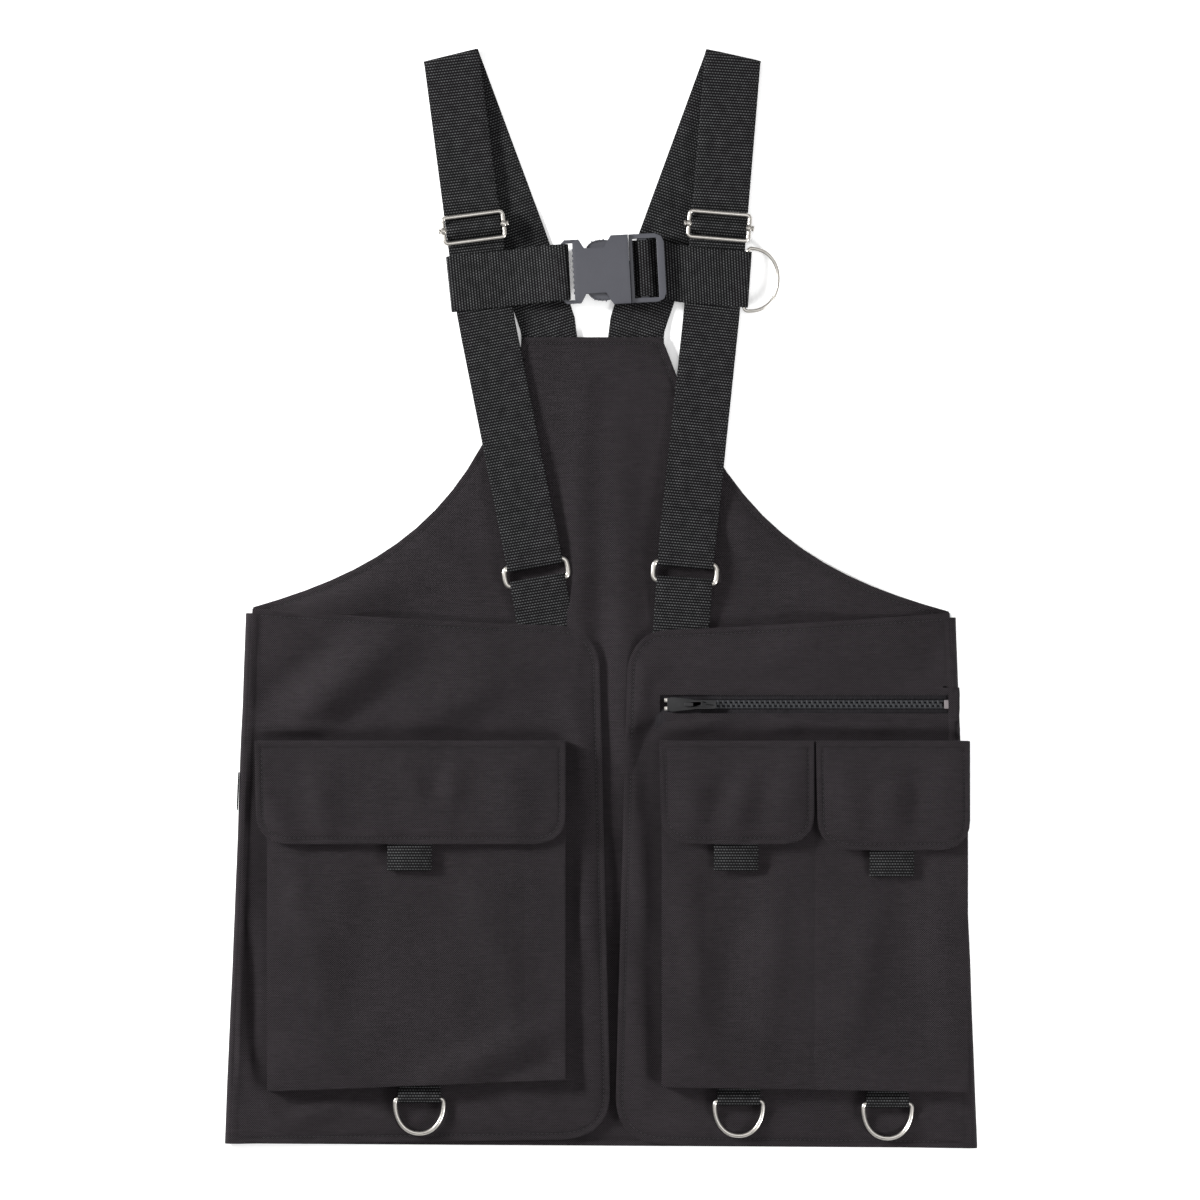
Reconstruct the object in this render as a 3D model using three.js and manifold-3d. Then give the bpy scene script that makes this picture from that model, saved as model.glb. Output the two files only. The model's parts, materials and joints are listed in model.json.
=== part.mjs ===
// Safety harness vest: a short black work vest of plain cloth on webbing braces, laid flat on its back.
// X runs across the vest, Y from the hem to the shoulders and Z up out of its front. Sizes are millimetres.

import * as THREE from "three";
import { mergeVertices } from "three/addons/utils/BufferGeometryUtils.js";
import Module from "manifold-3d";

const wasm = await Module();
wasm.setup();

// ---- Driving dimensions: cloth body ----
const bodyWidth = 511; // across the hem, side fold to side fold
const sideTaper = 14.5; // how far each side comes in between the hem and the armhole
const backHeight = 551; // hem to the top of the narrow back
const strapRise = 196.5; // top of the back to the shoulder folds
const sideHeight = 364.5; // hem to the armhole corner
const hemLift = 3; // the left end of the hem lies this much higher
const frontTopDrop = 12.5; // the front's top edge falls this much towards the centre
const leftCentreTop = -1; // left front's centre edge at the top and at the hem
const leftCentreHem = 6;
const rightCentreTop = 18;
const rightCentreHem = 10;
const centreTopRadius = 26;
const centreHemRadius = 32;
const sideFoldReach = 4.5; // how much of each side the folded strip covers
const sideLoopLength = 26;
const sideLoopReach = 1; // webbing loop standing out of the side seam
const sideLoopDrop = 112; // armhole corner to the loop's upper end

// ---- Driving dimensions: cloth, webbing and wire ----
const seat = 0.3; // gap kept between pieces that touch
const clothThickness = 0.8;
const panelThickness = 1;
const webbingThickness = 1.2;
const webbingWidth = 38;
const narrowWidth = 29; // hem loops
const pullTabWidth = 30;
const ringSides = 8;

// ---- Driving dimensions: pockets and flaps ----
const flapTopRise = 276; // hem to the flaps' top edges
const flapHeight = 69;
const outerFlapHeight = 73;
const pocketDepth = 8.8; // how far the bellows stand off the front
const pocketMouthDrop = 6; // flap top to the pocket's open edge
const leftPocketRise = 39; // hem to the pocket's lower side corner
const leftPocketSlope = 8; // its inner corner lies this much higher
const rightPocketRise = 38.5;
const rightPocketSlope = 3.5;
const leftPocketSideMargin = 14; // from the side fold
const leftPocketCentreMargin = 26; // from the centre edge
const rightPocketCentreMargin = 29;
const rightPocketSideMargin = 0.5;
const leftFlapOverhang = 8; // flap beyond the pocket, at its side end
const flapGap = 1.2; // between the two right flaps
const flapRadius = 20;
const patchHeight = 20; // hook and loop patches
const patchThickness = 0.8;
const patchSideMargin = 22;
const pullTabReach = 18; // below the flap's edge
const pullTabTuck = 10; // under the flap
const pullTabThickness = 1.6;

// ---- Driving dimensions: zip ----
const zipDrop = 63; // armhole corner to the zip's centre line
const zipSlotWidth = 12.4;
const zipCentreMargin = 24; // centre edge to the slot
const zipSideMargin = 4;
const toothPitch = 3.56;
const toothWidth = 1.45;
const toothHeight = 2.2;
const toothReach = 0.7; // past the centre line
const cordInner = 1; // centre line to the teeth's cord
const cordOuter = 3;
const tapeThickness = 0.6;
const tapeWidth = 16; // centre line to the tape's outer edge
const sliderLength = 18;
const sliderWidth = 10;
const pullLength = 18;
const pullWidth = 6;
const pullThickness = 1.4;
const stopLength = 5;
const bagThickness = 0.5;
const sliderPlate = 1.1; // upper plate
const sliderSole = 0.5; // lower plate, behind the tapes
const bridgeLength = 5.8; // the arch that holds the pull
const bridgeWall = 1.1;
const bridgeRoom = 2.3; // height under the arch
const bagDrop = 120; // how far the zip pocket's bag hangs below the zip

// ---- Driving dimensions: rings ----
const hemRingWidth = 33; // D rings are measured along the wire's centre line
const hemRingDepth = 23.5;
const hemRingWire = 3;
const hemLoopReach = 8.5; // pocket's bottom to the bar of the ring
const chestRingWidth = 42.6;
const chestRingDepth = 22;
const chestRingWire = 2.4;
const ovalLength = 43.4;
const ovalWidth = 12.9;
const ovalWire = 3.6;
const leftOvalTilt = 10;
const rightOvalTilt = -4;
const tabRise = 36; // front's top edge to the middle of the oval ring
const tabTuck = 16; // tab's end below the top edge
const leftTabInset = 44; // centre edge to the tab
const rightTabInset = 39;

// ---- Driving dimensions: braces, sliders and chest strap ----
const strapEndSpacing = 59.5; // between the two straps at the top of the back
const strapEndShift = -5.75; // middle of the two straps
const leftFoldX = -101.5;
const rightFoldX = 89.5;
const leftChestX = -81.6;
const rightChestX = 77;
const foldDrop = 7.3; // strap's middle at the fold, below the fold's highest corner
const strapEndLength = 26; // sewn in at the top of the back
const chestRise = 42; // top of the back to the chest strap
const triGlideRise = 37.5; // chest strap to the sliders
const triGlideLength = 41; // across the strap, along the wire's centre line
const triGlideWidth = 17.5;
const triGlideWire = 3;
const triGlideBoss = 5.6;
const barRadius = 1.5;
const barNeck = 1;
const barHeadRadius = 2;
const barHeadLength = 1.6;
const buckleTilt = 3;
const buckleX = 7.7; // middle of the closed buckle
const buckleHeight = 46.6;
const socketThickness = 12;
const plugThickness = 5.8;
const socketMouthX = 11.7; // from the buckle's middle
const socketBarX = -32.7;
const plugEndX = 35.8;
const buckleWall = 1.6;
const buckleWindow = 40.4;
const adjusterBarX = 21.5;
const adjusterBarWidth = 5.5;
const adjusterBarThickness = 2.4;
const socketBarWidth = 3.5;
const socketBarThickness = 2.6;

// ---- Places along the body ----
const hemY = -(backHeight + strapRise) / 2;
const foldTopY = hemY + backHeight + strapRise;
const backTopY = hemY + backHeight;
const halfHem = bodyWidth / 2;
const halfArmhole = halfHem - sideTaper;
const leftHemY = hemY + hemLift;
const rightCornerY = hemY + sideHeight;
const leftCornerY = rightCornerY + hemLift;
const flapTopY = hemY + flapTopRise;
const zipY = rightCornerY - zipDrop;
const chestY = backTopY + chestRise;
const sideSlope = sideTaper / sideHeight;

// ---- Heights in the stack, from the ground up ----
const strapEndZ = clothThickness + seat;
const liningZ = strapEndZ + webbingThickness + seat;
const liningTop = liningZ + clothThickness;
const tabMidZ = liningTop + seat + webbingThickness / 2;
const frontZ = liningTop + seat + 2 * webbingThickness + 2 * seat;
const frontTop = frontZ + panelThickness;
const ovalZ = liningTop + webbingThickness + 2 * seat + ovalWire / 2;
const pocketZ = frontTop + seat;
const pocketTop = pocketZ + pocketDepth;
const loopPatchZ = pocketTop + seat;
const hookPatchZ = loopPatchZ + patchThickness + seat;
const flapZ = hookPatchZ + patchThickness + seat;
const layer = webbingThickness + seat;
const backStrapMid = webbingThickness / 2;
const chestUnderMid = backStrapMid + layer;
const returnMid = chestUnderMid + layer;
const frontStrapMid = returnMid + layer;
const chestTopMid = frontStrapMid + layer;
const frontStrapTop = frontStrapMid + webbingThickness / 2;
const buckleZ = frontStrapTop + 2 * seat + plugThickness / 2;
const chestEndZ = (chestUnderMid + chestTopMid) / 2;
const chestEndRadius = (chestTopMid - chestUnderMid) / 2;

// ---- Materials ----
const finish = (color, roughness, metalness) =>
  new THREE.MeshStandardMaterial({ color, roughness, metalness });
const cloth = finish(0x2c292c, 0.9, 0);
const webbing = finish(0x1c1b1d, 0.85, 0);
const patchCloth = finish(0x161617, 0.95, 0);
const buckleResin = finish(0x4b4c52, 0.5, 0);
const zipResin = finish(0x2e2f32, 0.4, 0);
const nickel = finish(0xb4b1ab, 0.3, 1);
const paintedZinc = finish(0x242426, 0.35, 0.6);

const vest = new THREE.Group();

// ---- Geometry helpers ----

function addPart(name, geometry, material, parent = vest) {
  const mesh = new THREE.Mesh(geometry, material);
  mesh.name = name;
  parent.add(mesh);
  return mesh;
}

function frameAt(x, y, z, tiltDegrees, parent = vest) {
  const group = new THREE.Group();
  group.position.set(x, y, z);
  group.rotation.z = THREE.MathUtils.degToRad(tiltDegrees);
  parent.add(group);
  return group;
}

const point = (x, y) => new THREE.Vector2(x, y);

function slab(shape, low, thickness, curveSegments = 6) {
  const settings = { depth: thickness, bevelEnabled: false, curveSegments };
  return new THREE.ExtrudeGeometry(shape, settings).translate(0, 0, low);
}

function block(x0, x1, y0, y1, z0, z1) {
  const box = new THREE.BoxGeometry(x1 - x0, y1 - y0, z1 - z0);
  return box.translate((x0 + x1) / 2, (y0 + y1) / 2, (z0 + z1) / 2);
}

// A strip of the given thickness along a path of (run, height) points.
function stripShape(path, thickness, closed = false) {
  const last = path.length - 1;
  const upper = [];
  const lower = [];
  path.forEach((here, i) => {
    const before = closed ? path[(i + last) % path.length] : path[Math.max(i - 1, 0)];
    const after = closed ? path[(i + 1) % path.length] : path[Math.min(i + 1, last)];
    const along = after.clone().sub(before).normalize();
    const out = point(-along.y, along.x).multiplyScalar(thickness / 2);
    upper.push(here.clone().add(out));
    lower.push(here.clone().sub(out));
  });
  if (!closed) return new THREE.Shape([...upper, ...lower.reverse()]);
  const upperIsOuter = Math.abs(THREE.ShapeUtils.area(upper)) > Math.abs(THREE.ShapeUtils.area(lower));
  const shape = new THREE.Shape(upperIsOuter ? upper : lower);
  const hole = upperIsOuter ? lower : upper;
  shape.holes.push(new THREE.Path(THREE.ShapeUtils.isClockWise(hole) ? hole.reverse() : hole));
  return shape;
}

// A (run, height) profile given a width: the run lies along X, the width across Y.
function acrossWidth(shape, width) {
  const settings = { depth: width, bevelEnabled: false };
  return new THREE.ExtrudeGeometry(shape, settings).rotateX(Math.PI / 2).translate(0, width / 2, 0);
}

function arcPoints(centreRun, centreHeight, radius, fromDegrees, toDegrees, count) {
  return Array.from({ length: count + 1 }, (_, i) => {
    const angle = THREE.MathUtils.degToRad(fromDegrees + ((toDegrees - fromDegrees) * i) / count);
    return point(centreRun + radius * Math.cos(angle), centreHeight + radius * Math.sin(angle));
  });
}

// Lays a straight strip along a curved centre line in plan: X becomes the distance along the curve.
function layAlong(geometry, curve) {
  const steps = 120;
  const stations = curve.getSpacedPoints(steps);
  const length = curve.getLength();
  const places = geometry.getAttribute("position");
  for (let i = 0; i < places.count; i += 1) {
    const station = (places.getX(i) / length) * steps;
    const index = Math.min(Math.max(Math.floor(station), 0), steps - 1);
    const along = stations[index + 1].clone().sub(stations[index]);
    const centre = stations[index].clone().addScaledVector(along, station - index);
    along.normalize();
    const across = places.getY(i);
    places.setXY(i, centre.x - along.y * across, centre.y + along.x * across);
  }
  return geometry;
}

// A wire bent into a closed flat loop.
function wireLoop(path, wire) {
  const places = [];
  const faces = [];
  const count = path.length;
  path.forEach((here, i) => {
    const along = path[(i + 1) % count].clone().sub(path[(i + count - 1) % count]).normalize();
    for (let j = 0; j < ringSides; j += 1) {
      const angle = (2 * Math.PI * j) / ringSides;
      const out = (wire / 2) * Math.cos(angle);
      places.push(here.x + along.y * out, here.y - along.x * out, (wire / 2) * Math.sin(angle));
      const a = i * ringSides + j;
      const b = ((i + 1) % count) * ringSides + j;
      const c = ((i + 1) % count) * ringSides + ((j + 1) % ringSides);
      const d = i * ringSides + ((j + 1) % ringSides);
      faces.push(a, b, c, a, c, d);
    }
  });
  const geometry = new THREE.BufferGeometry();
  geometry.setAttribute("position", new THREE.Float32BufferAttribute(places, 3));
  geometry.setIndex(faces);
  return geometry;
}

// A flat ribbon through cross-sections, each a centre, a half width and a tangent.
function ribbon(sections, thickness) {
  const places = [];
  const faces = [];
  sections.forEach(({ centre, half, along }, i) => {
    const out = half.clone().cross(along).normalize().multiplyScalar(thickness / 2);
    const corners = [[-1, -1], [1, -1], [1, 1], [-1, 1]];
    corners.forEach(([side, face]) => {
      places.push(...centre.clone().addScaledVector(half, side).addScaledVector(out, face).toArray());
    });
    if (i === 0) return;
    for (let k = 0; k < 4; k += 1) {
      const a = (i - 1) * 4 + k;
      const b = i * 4 + k;
      const c = i * 4 + ((k + 1) % 4);
      const d = (i - 1) * 4 + ((k + 1) % 4);
      faces.push(a, b, c, a, c, d);
    }
  });
  const end = (sections.length - 1) * 4;
  faces.push(0, 1, 2, 0, 2, 3, end, end + 2, end + 1, end, end + 3, end + 2);
  const geometry = new THREE.BufferGeometry();
  geometry.setAttribute("position", new THREE.Float32BufferAttribute(places, 3));
  geometry.setIndex(faces);
  return geometry;
}

function solidOf(geometry) {
  const bare = geometry.clone();
  bare.deleteAttribute("normal");
  bare.deleteAttribute("uv");
  const welded = mergeVertices(bare, 1e-4);
  return new wasm.Manifold(new wasm.Mesh({
    numProp: 3,
    vertProperties: new Float32Array(welded.getAttribute("position").array),
    triVerts: new Uint32Array(welded.getIndex().array),
  }));
}

function geometryOf(solid) {
  const mesh = solid.getMesh();
  const geometry = new THREE.BufferGeometry();
  geometry.setAttribute("position", new THREE.BufferAttribute(mesh.vertProperties, 3));
  geometry.setIndex(new THREE.BufferAttribute(mesh.triVerts, 1));
  return geometry;
}

// ---- Back: outer shell and lining, folded strips at the sides ----

const sideX = (y) => halfHem - (y - hemY) * sideSlope;

function backOutline() {
  const neckHalf = (strapEndSpacing + webbingWidth) / 2 - 2;
  const left = -halfArmhole + sideFoldReach;
  const right = halfArmhole - sideFoldReach;
  const neckLeft = point(strapEndShift - neckHalf, backTopY);
  const neckRight = point(strapEndShift + neckHalf, backTopY);
  const outline = new THREE.Shape();
  outline.moveTo(-halfHem + sideFoldReach, leftHemY);
  outline.lineTo(left, leftCornerY);
  const leftShoulder = point(neckLeft.x - 4, backTopY - 12);
  outline.bezierCurveTo(
    left + 88, leftCornerY + 25, neckLeft.x - 36, backTopY - 122, leftShoulder.x, leftShoulder.y);
  outline.lineTo(neckLeft.x, neckLeft.y);
  outline.lineTo(neckRight.x, neckRight.y);
  outline.lineTo(neckRight.x + 3, backTopY - 7);
  outline.bezierCurveTo(neckRight.x + 46, backTopY - 129, right - 88, rightCornerY + 24, right, rightCornerY);
  outline.lineTo(halfHem - sideFoldReach, hemY);
  return outline;
}

addPart("back_shell", slab(backOutline(), 0, clothThickness, 14), cloth);
addPart("back_lining", slab(backOutline(), liningZ, clothThickness, 14), cloth);

// The strip that carries the cloth round from the back to the front: a C in section.
function sideFold(side) {
  const lowMid = clothThickness / 2;
  const highMid = frontZ + panelThickness / 2;
  const radius = (highMid - lowMid) / 2;
  const path = [
    point(seat + clothThickness / 2 + radius - sideFoldReach, lowMid),
    ...arcPoints(0, lowMid + radius, radius, -90, 90, 8),
    point(seat + clothThickness / 2 + radius - sideFoldReach, highMid),
  ];
  const length = sideHeight - 4;
  const strip = acrossWidth(stripShape(path, clothThickness), length);
  strip.translate(-radius - clothThickness / 2, length / 2, 0);
  if (side < 0) strip.rotateZ(Math.PI).translate(0, length, 0);
  const startY = side < 0 ? leftHemY : hemY;
  const lean = new THREE.Matrix4().makeShear(0, 0, -side * sideSlope, 0, 0, 0);
  strip.applyMatrix4(lean);
  return strip.translate(side * halfHem, startY, 0);
}

addPart("left_side_fold", sideFold(-1), cloth);
addPart("right_side_fold", sideFold(1), cloth);

function sideLoop(side) {
  const top = (side < 0 ? leftCornerY : rightCornerY) - sideLoopDrop;
  const inner = sideX(top) + seat;
  const strip = block(inner, inner + sideLoopReach, -sideLoopLength, 0, 1, frontZ);
  if (side < 0) strip.rotateZ(Math.PI).translate(0, -sideLoopLength, 0);
  strip.applyMatrix4(new THREE.Matrix4().makeShear(0, 0, -side * sideSlope, 0, 0, 0));
  return strip.translate(0, top, 0);
}

addPart("left_side_loop", sideLoop(-1), webbing);
addPart("right_side_loop", sideLoop(1), webbing);

// ---- Fronts: each with a rounded centre edge ----

function frontOutline(side) {
  const cornerY = side < 0 ? leftCornerY : rightCornerY;
  const hem = side < 0 ? leftHemY : hemY;
  const topX = side < 0 ? leftCentreTop : rightCentreTop;
  const hemX = side < 0 ? leftCentreHem : rightCentreHem;
  const centreTopY = cornerY - frontTopDrop;
  const centreHemY = hem + 3;
  const outer = side * (halfArmhole - sideFoldReach);
  const outline = new THREE.Shape();
  outline.moveTo(side * (halfHem - sideFoldReach), hem);
  outline.lineTo(outer, cornerY - 1);
  outline.quadraticCurveTo(outer - side * 110, centreTopY + 3, topX + side * centreTopRadius, centreTopY);
  outline.quadraticCurveTo(topX + side * 4, centreTopY - 2, topX, centreTopY - centreTopRadius);
  outline.lineTo(hemX, centreHemY + centreHemRadius);
  outline.quadraticCurveTo(hemX, centreHemY + 2, hemX + side * centreHemRadius, centreHemY);
  return outline;
}

const leftPocketOuter = -(sideX(flapTopY) - sideFoldReach) + leftPocketSideMargin - 0.5;
const leftPocketInner = leftCentreTop + 3 - leftPocketCentreMargin;
const rightPocketInner = rightCentreHem + 2 + rightPocketCentreMargin;
const rightPocketOuter = sideX(hemY + rightPocketRise) - sideFoldReach - rightPocketSideMargin;
const rightPocketMiddle = (rightPocketInner + rightPocketOuter) / 2;
const zipSlotInner = rightCentreTop + zipCentreMargin - 2;
const zipSlotOuter = sideX(zipY) - sideFoldReach - zipSideMargin + 3;

function rightFrontOutline() {
  const outline = frontOutline(1);
  const slot = new THREE.Path();
  slot.moveTo(zipSlotInner, zipY - zipSlotWidth / 2);
  slot.lineTo(zipSlotInner, zipY + zipSlotWidth / 2);
  slot.lineTo(zipSlotOuter, zipY + zipSlotWidth / 2);
  slot.lineTo(zipSlotOuter, zipY - zipSlotWidth / 2);
  outline.holes.push(slot);
  return outline;
}

addPart("left_front_panel", slab(frontOutline(-1), frontZ, panelThickness, 10), cloth);
addPart("right_front_panel", slab(rightFrontOutline(), frontZ, panelThickness, 10), cloth);

// ---- Bellows pockets: a front plate on side and bottom walls, open at the mouth ----

function pocketTray(cornersX, bottomsY, dividers) {
  const [x0, x1] = cornersX;
  const [bottom0, bottom1] = bottomsY;
  const mouthY = flapTopY - pocketMouthDrop;
  const wall = clothThickness;
  const bottomAt = (x) => bottom0 + ((bottom1 - bottom0) * (x - x0)) / (x1 - x0);
  const outline = new THREE.Shape();
  outline.moveTo(x0, bottom0);
  outline.lineTo(x1, bottom1);
  outline.lineTo(x1, mouthY);
  outline.lineTo(x0, mouthY);
  let tray = solidOf(slab(outline, pocketZ, pocketDepth));
  const edges = [x0, ...dividers, x1];
  for (let i = 0; i + 1 < edges.length; i += 1) {
    const left = edges[i] + (i === 0 ? wall : wall / 2);
    const right = edges[i + 1] - (i + 2 === edges.length ? wall : wall / 2);
    const room = new THREE.Shape();
    room.moveTo(left, bottomAt(left) + wall);
    room.lineTo(right, bottomAt(right) + wall);
    room.lineTo(right, mouthY + 1);
    room.lineTo(left, mouthY + 1);
    tray = tray.subtract(solidOf(slab(room, pocketZ - 1, pocketDepth - wall + 1)));
  }
  return geometryOf(tray);
}

const leftPocketBottoms = [hemY + leftPocketRise, hemY + leftPocketRise + leftPocketSlope];
const rightPocketBottoms = [hemY + rightPocketRise + rightPocketSlope, hemY + rightPocketRise];
addPart("left_pocket", pocketTray([leftPocketOuter, leftPocketInner], leftPocketBottoms, []), cloth);
addPart("right_pocket",
  pocketTray([rightPocketInner, rightPocketOuter], rightPocketBottoms, [rightPocketMiddle]), cloth);

// ---- Flaps: a riser sewn to the front, and the flap that turns about its upper edge ----

const hingeY = flapTopY + clothThickness;

function flapOutline(x0, x1, height) {
  const bottom = flapTopY - height;
  const outline = new THREE.Shape();
  outline.moveTo(x0, hingeY);
  outline.lineTo(x0 + 1, bottom + flapRadius);
  outline.quadraticCurveTo(x0 + 2, bottom + 2, x0 + flapRadius + 2, bottom);
  outline.lineTo(x1 - flapRadius, bottom);
  outline.quadraticCurveTo(x1, bottom + 2, x1, bottom + flapRadius);
  outline.lineTo(x1, hingeY);
  return outline;
}

function addFlap(side, x0, x1, height, tabX) {
  const bottom = flapTopY - height;
  const patchLow = bottom + pullTabTuck + 3;
  const patch = [x0 + patchSideMargin, x1 - patchSideMargin, patchLow, patchLow + patchHeight];
  addPart(`${side}_flap`, slab(flapOutline(x0, x1, height), flapZ, clothThickness), cloth);
  addPart(`${side}_hook_patch`, block(...patch, hookPatchZ, hookPatchZ + patchThickness), patchCloth);
  addPart(`${side}_loop_patch`, block(...patch, loopPatchZ, loopPatchZ + patchThickness), patchCloth);
  const tabTop = flapZ - seat;
  const half = pullTabWidth / 2;
  const tab = [tabX - half, tabX + half, bottom - pullTabReach, bottom + pullTabTuck];
  addPart(`${side}_pull_tab`, block(...tab, tabTop - pullTabThickness, tabTop), webbing);
}

function riser(x0, x1) {
  return block(x0, x1, flapTopY, hingeY, pocketZ, flapZ - seat);
}

const leftFlapX0 = leftPocketOuter - leftFlapOverhang;
const rightFlapX1 = rightPocketOuter + 1;
const rightFlapGap = flapGap / 2;
addPart("left_flap_riser", riser(leftFlapX0 + 1, leftPocketInner), cloth);
addPart("right_flap_riser", riser(rightPocketInner - 1, rightFlapX1 - 0.5), cloth);
const leftTabX = (leftPocketOuter + leftPocketInner) / 2 - 4.5;
const innerTabX = (rightPocketInner + rightPocketMiddle) / 2 - 1.5;
const outerTabX = (rightPocketMiddle + rightPocketOuter) / 2;
addFlap("left", leftFlapX0, leftPocketInner, flapHeight, leftTabX);
addFlap("inner", rightPocketInner - 1.5, rightPocketMiddle - rightFlapGap, flapHeight, innerTabX);
addFlap("outer", rightPocketMiddle + rightFlapGap, rightFlapX1, outerFlapHeight, outerTabX);

// ---- Hem loops and their D rings, below the pockets ----

// A D in plan: the straight bar lies on the Y axis and the bow reaches out along +X.
function dRingPath(width, depth) {
  const half = width / 2;
  const corner = 3;
  const outline = new THREE.Path();
  outline.moveTo(0, corner - half);
  outline.lineTo(0, 0);
  outline.lineTo(0, half - corner);
  outline.quadraticCurveTo(0, half, corner, half);
  outline.bezierCurveTo(depth * 0.62, half, depth, half * 0.62, depth, 0);
  outline.bezierCurveTo(depth, -half * 0.62, depth * 0.62, -half, corner, -half);
  outline.quadraticCurveTo(0, -half, 0, corner - half);
  return outline.getPoints(5).slice(1);
}

// A short webbing loop folded round a bar at the origin; its two layers lie together past run = -open.
function foldedLoop(length, open, barWire, width) {
  const radius = barWire / 2 + seat + webbingThickness / 2;
  const path = [
    point(-length, -radius),
    point(-length / 2, -radius),
    ...arcPoints(0, 0, radius, -90, 90, 8),
    point(-radius - 1, radius * 0.75 - 0.1),
    point(-open, layer - radius),
    point(-length, layer - radius),
  ];
  return acrossWidth(stripShape(path, webbingThickness), width);
}

const hemRingZ = pocketZ + webbingThickness + seat + hemRingWire / 2;

function addHemRing(side, x, pocketBottom) {
  const barY = pocketBottom - hemLoopReach;
  const place = frameAt(x, barY, hemRingZ, -90);
  const loop = foldedLoop(hemLoopReach - seat, hemLoopReach - 2, hemRingWire, narrowWidth);
  addPart(`${side}_hem_loop`, loop, webbing, place);
  addPart(`${side}_hem_ring`, wireLoop(dRingPath(hemRingWidth, hemRingDepth), hemRingWire), nickel, place);
}

const bottomUnder = (x, xs, ys) => ys[0] + ((ys[1] - ys[0]) * (x - xs[0])) / (xs[1] - xs[0]);
const leftRingX = leftTabX + 6.5;
const innerRingX = innerTabX + 2;
const outerRingX = outerTabX - 2.5;
const ringHalf = narrowWidth / 2;
const leftXs = [leftPocketOuter, leftPocketInner];
const rightXs = [rightPocketInner, rightPocketOuter];
addHemRing("left", leftRingX, bottomUnder(leftRingX - ringHalf, leftXs, leftPocketBottoms));
addHemRing("inner", innerRingX, bottomUnder(innerRingX + ringHalf, rightXs, rightPocketBottoms));
addHemRing("outer", outerRingX, bottomUnder(outerRingX + ringHalf, rightXs, rightPocketBottoms));

// ---- Front tabs and the oval rings that join them to the braces ----

// A flattened oval: straight bars for the webbing, joined by full round ends.
function ovalPath(length, width) {
  const end = length / 2;
  const half = width / 2;
  const straight = end - 4.2;
  const outline = new THREE.Path();
  outline.moveTo(straight, -half);
  outline.bezierCurveTo(end - 0.7, -half, end, -half * 0.7, end, 0);
  outline.bezierCurveTo(end, half * 0.7, end - 0.7, half, straight, half);
  outline.lineTo(-straight, half);
  outline.bezierCurveTo(0.7 - end, half, -end, half * 0.7, -end, 0);
  outline.bezierCurveTo(-end, -half * 0.7, 0.7 - end, -half, -straight, -half);
  return outline.getPoints(5);
}

const leftOval = point(leftCentreTop - leftTabInset + 1, leftCornerY - frontTopDrop + tabRise);
const rightOval = point(rightCentreTop + rightTabInset, rightCornerY - frontTopDrop + tabRise + 3);

function addTab(side, oval, tilt, cornerY) {
  const place = frameAt(oval.x, oval.y, ovalZ, tilt);
  addPart(`${side}_oval_ring`, wireLoop(ovalPath(ovalLength, ovalWidth), ovalWire), nickel, place);
  const barY = -ovalWidth / 2;
  const length = oval.y - (cornerY - frontTopDrop) + barY + tabTuck;
  const tab = foldedLoop(length, length - tabTuck - 6, ovalWire, webbingWidth);
  addPart(`${side}_front_tab`, tab.rotateZ(Math.PI / 2).translate(0, barY, 0), webbing, place);
}

addTab("left", leftOval, leftOvalTilt, leftCornerY);
addTab("right", rightOval, rightOvalTilt, rightCornerY);

// ---- Braces ----

const leftStrapEnd = strapEndShift - strapEndSpacing / 2;
const rightStrapEnd = strapEndShift + strapEndSpacing / 2;
const foldY = foldTopY - foldDrop;

function sectionsAlong(curve, count, foldAcross, foldAtEnd) {
  const blendLength = 34;
  const length = curve.getLength();
  return Array.from({ length: count + 1 }, (_, i) => {
    const share = i / count;
    const along = curve.getTangentAt(share);
    const across = new THREE.Vector3(along.y, -along.x, 0).normalize();
    const fromFold = length * (foldAtEnd ? 1 - share : share);
    const weight = 1 - THREE.MathUtils.smoothstep(fromFold, 0, blendLength);
    const sideways = across.clone().lerp(foldAcross, weight).normalize();
    const half = sideways.multiplyScalar(webbingWidth / 2 / sideways.dot(across));
    const centre = curve.getPointAt(share);
    centre.z = Math.max(centre.z, webbingThickness / 2);
    return { centre, half, along };
  });
}

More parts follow.
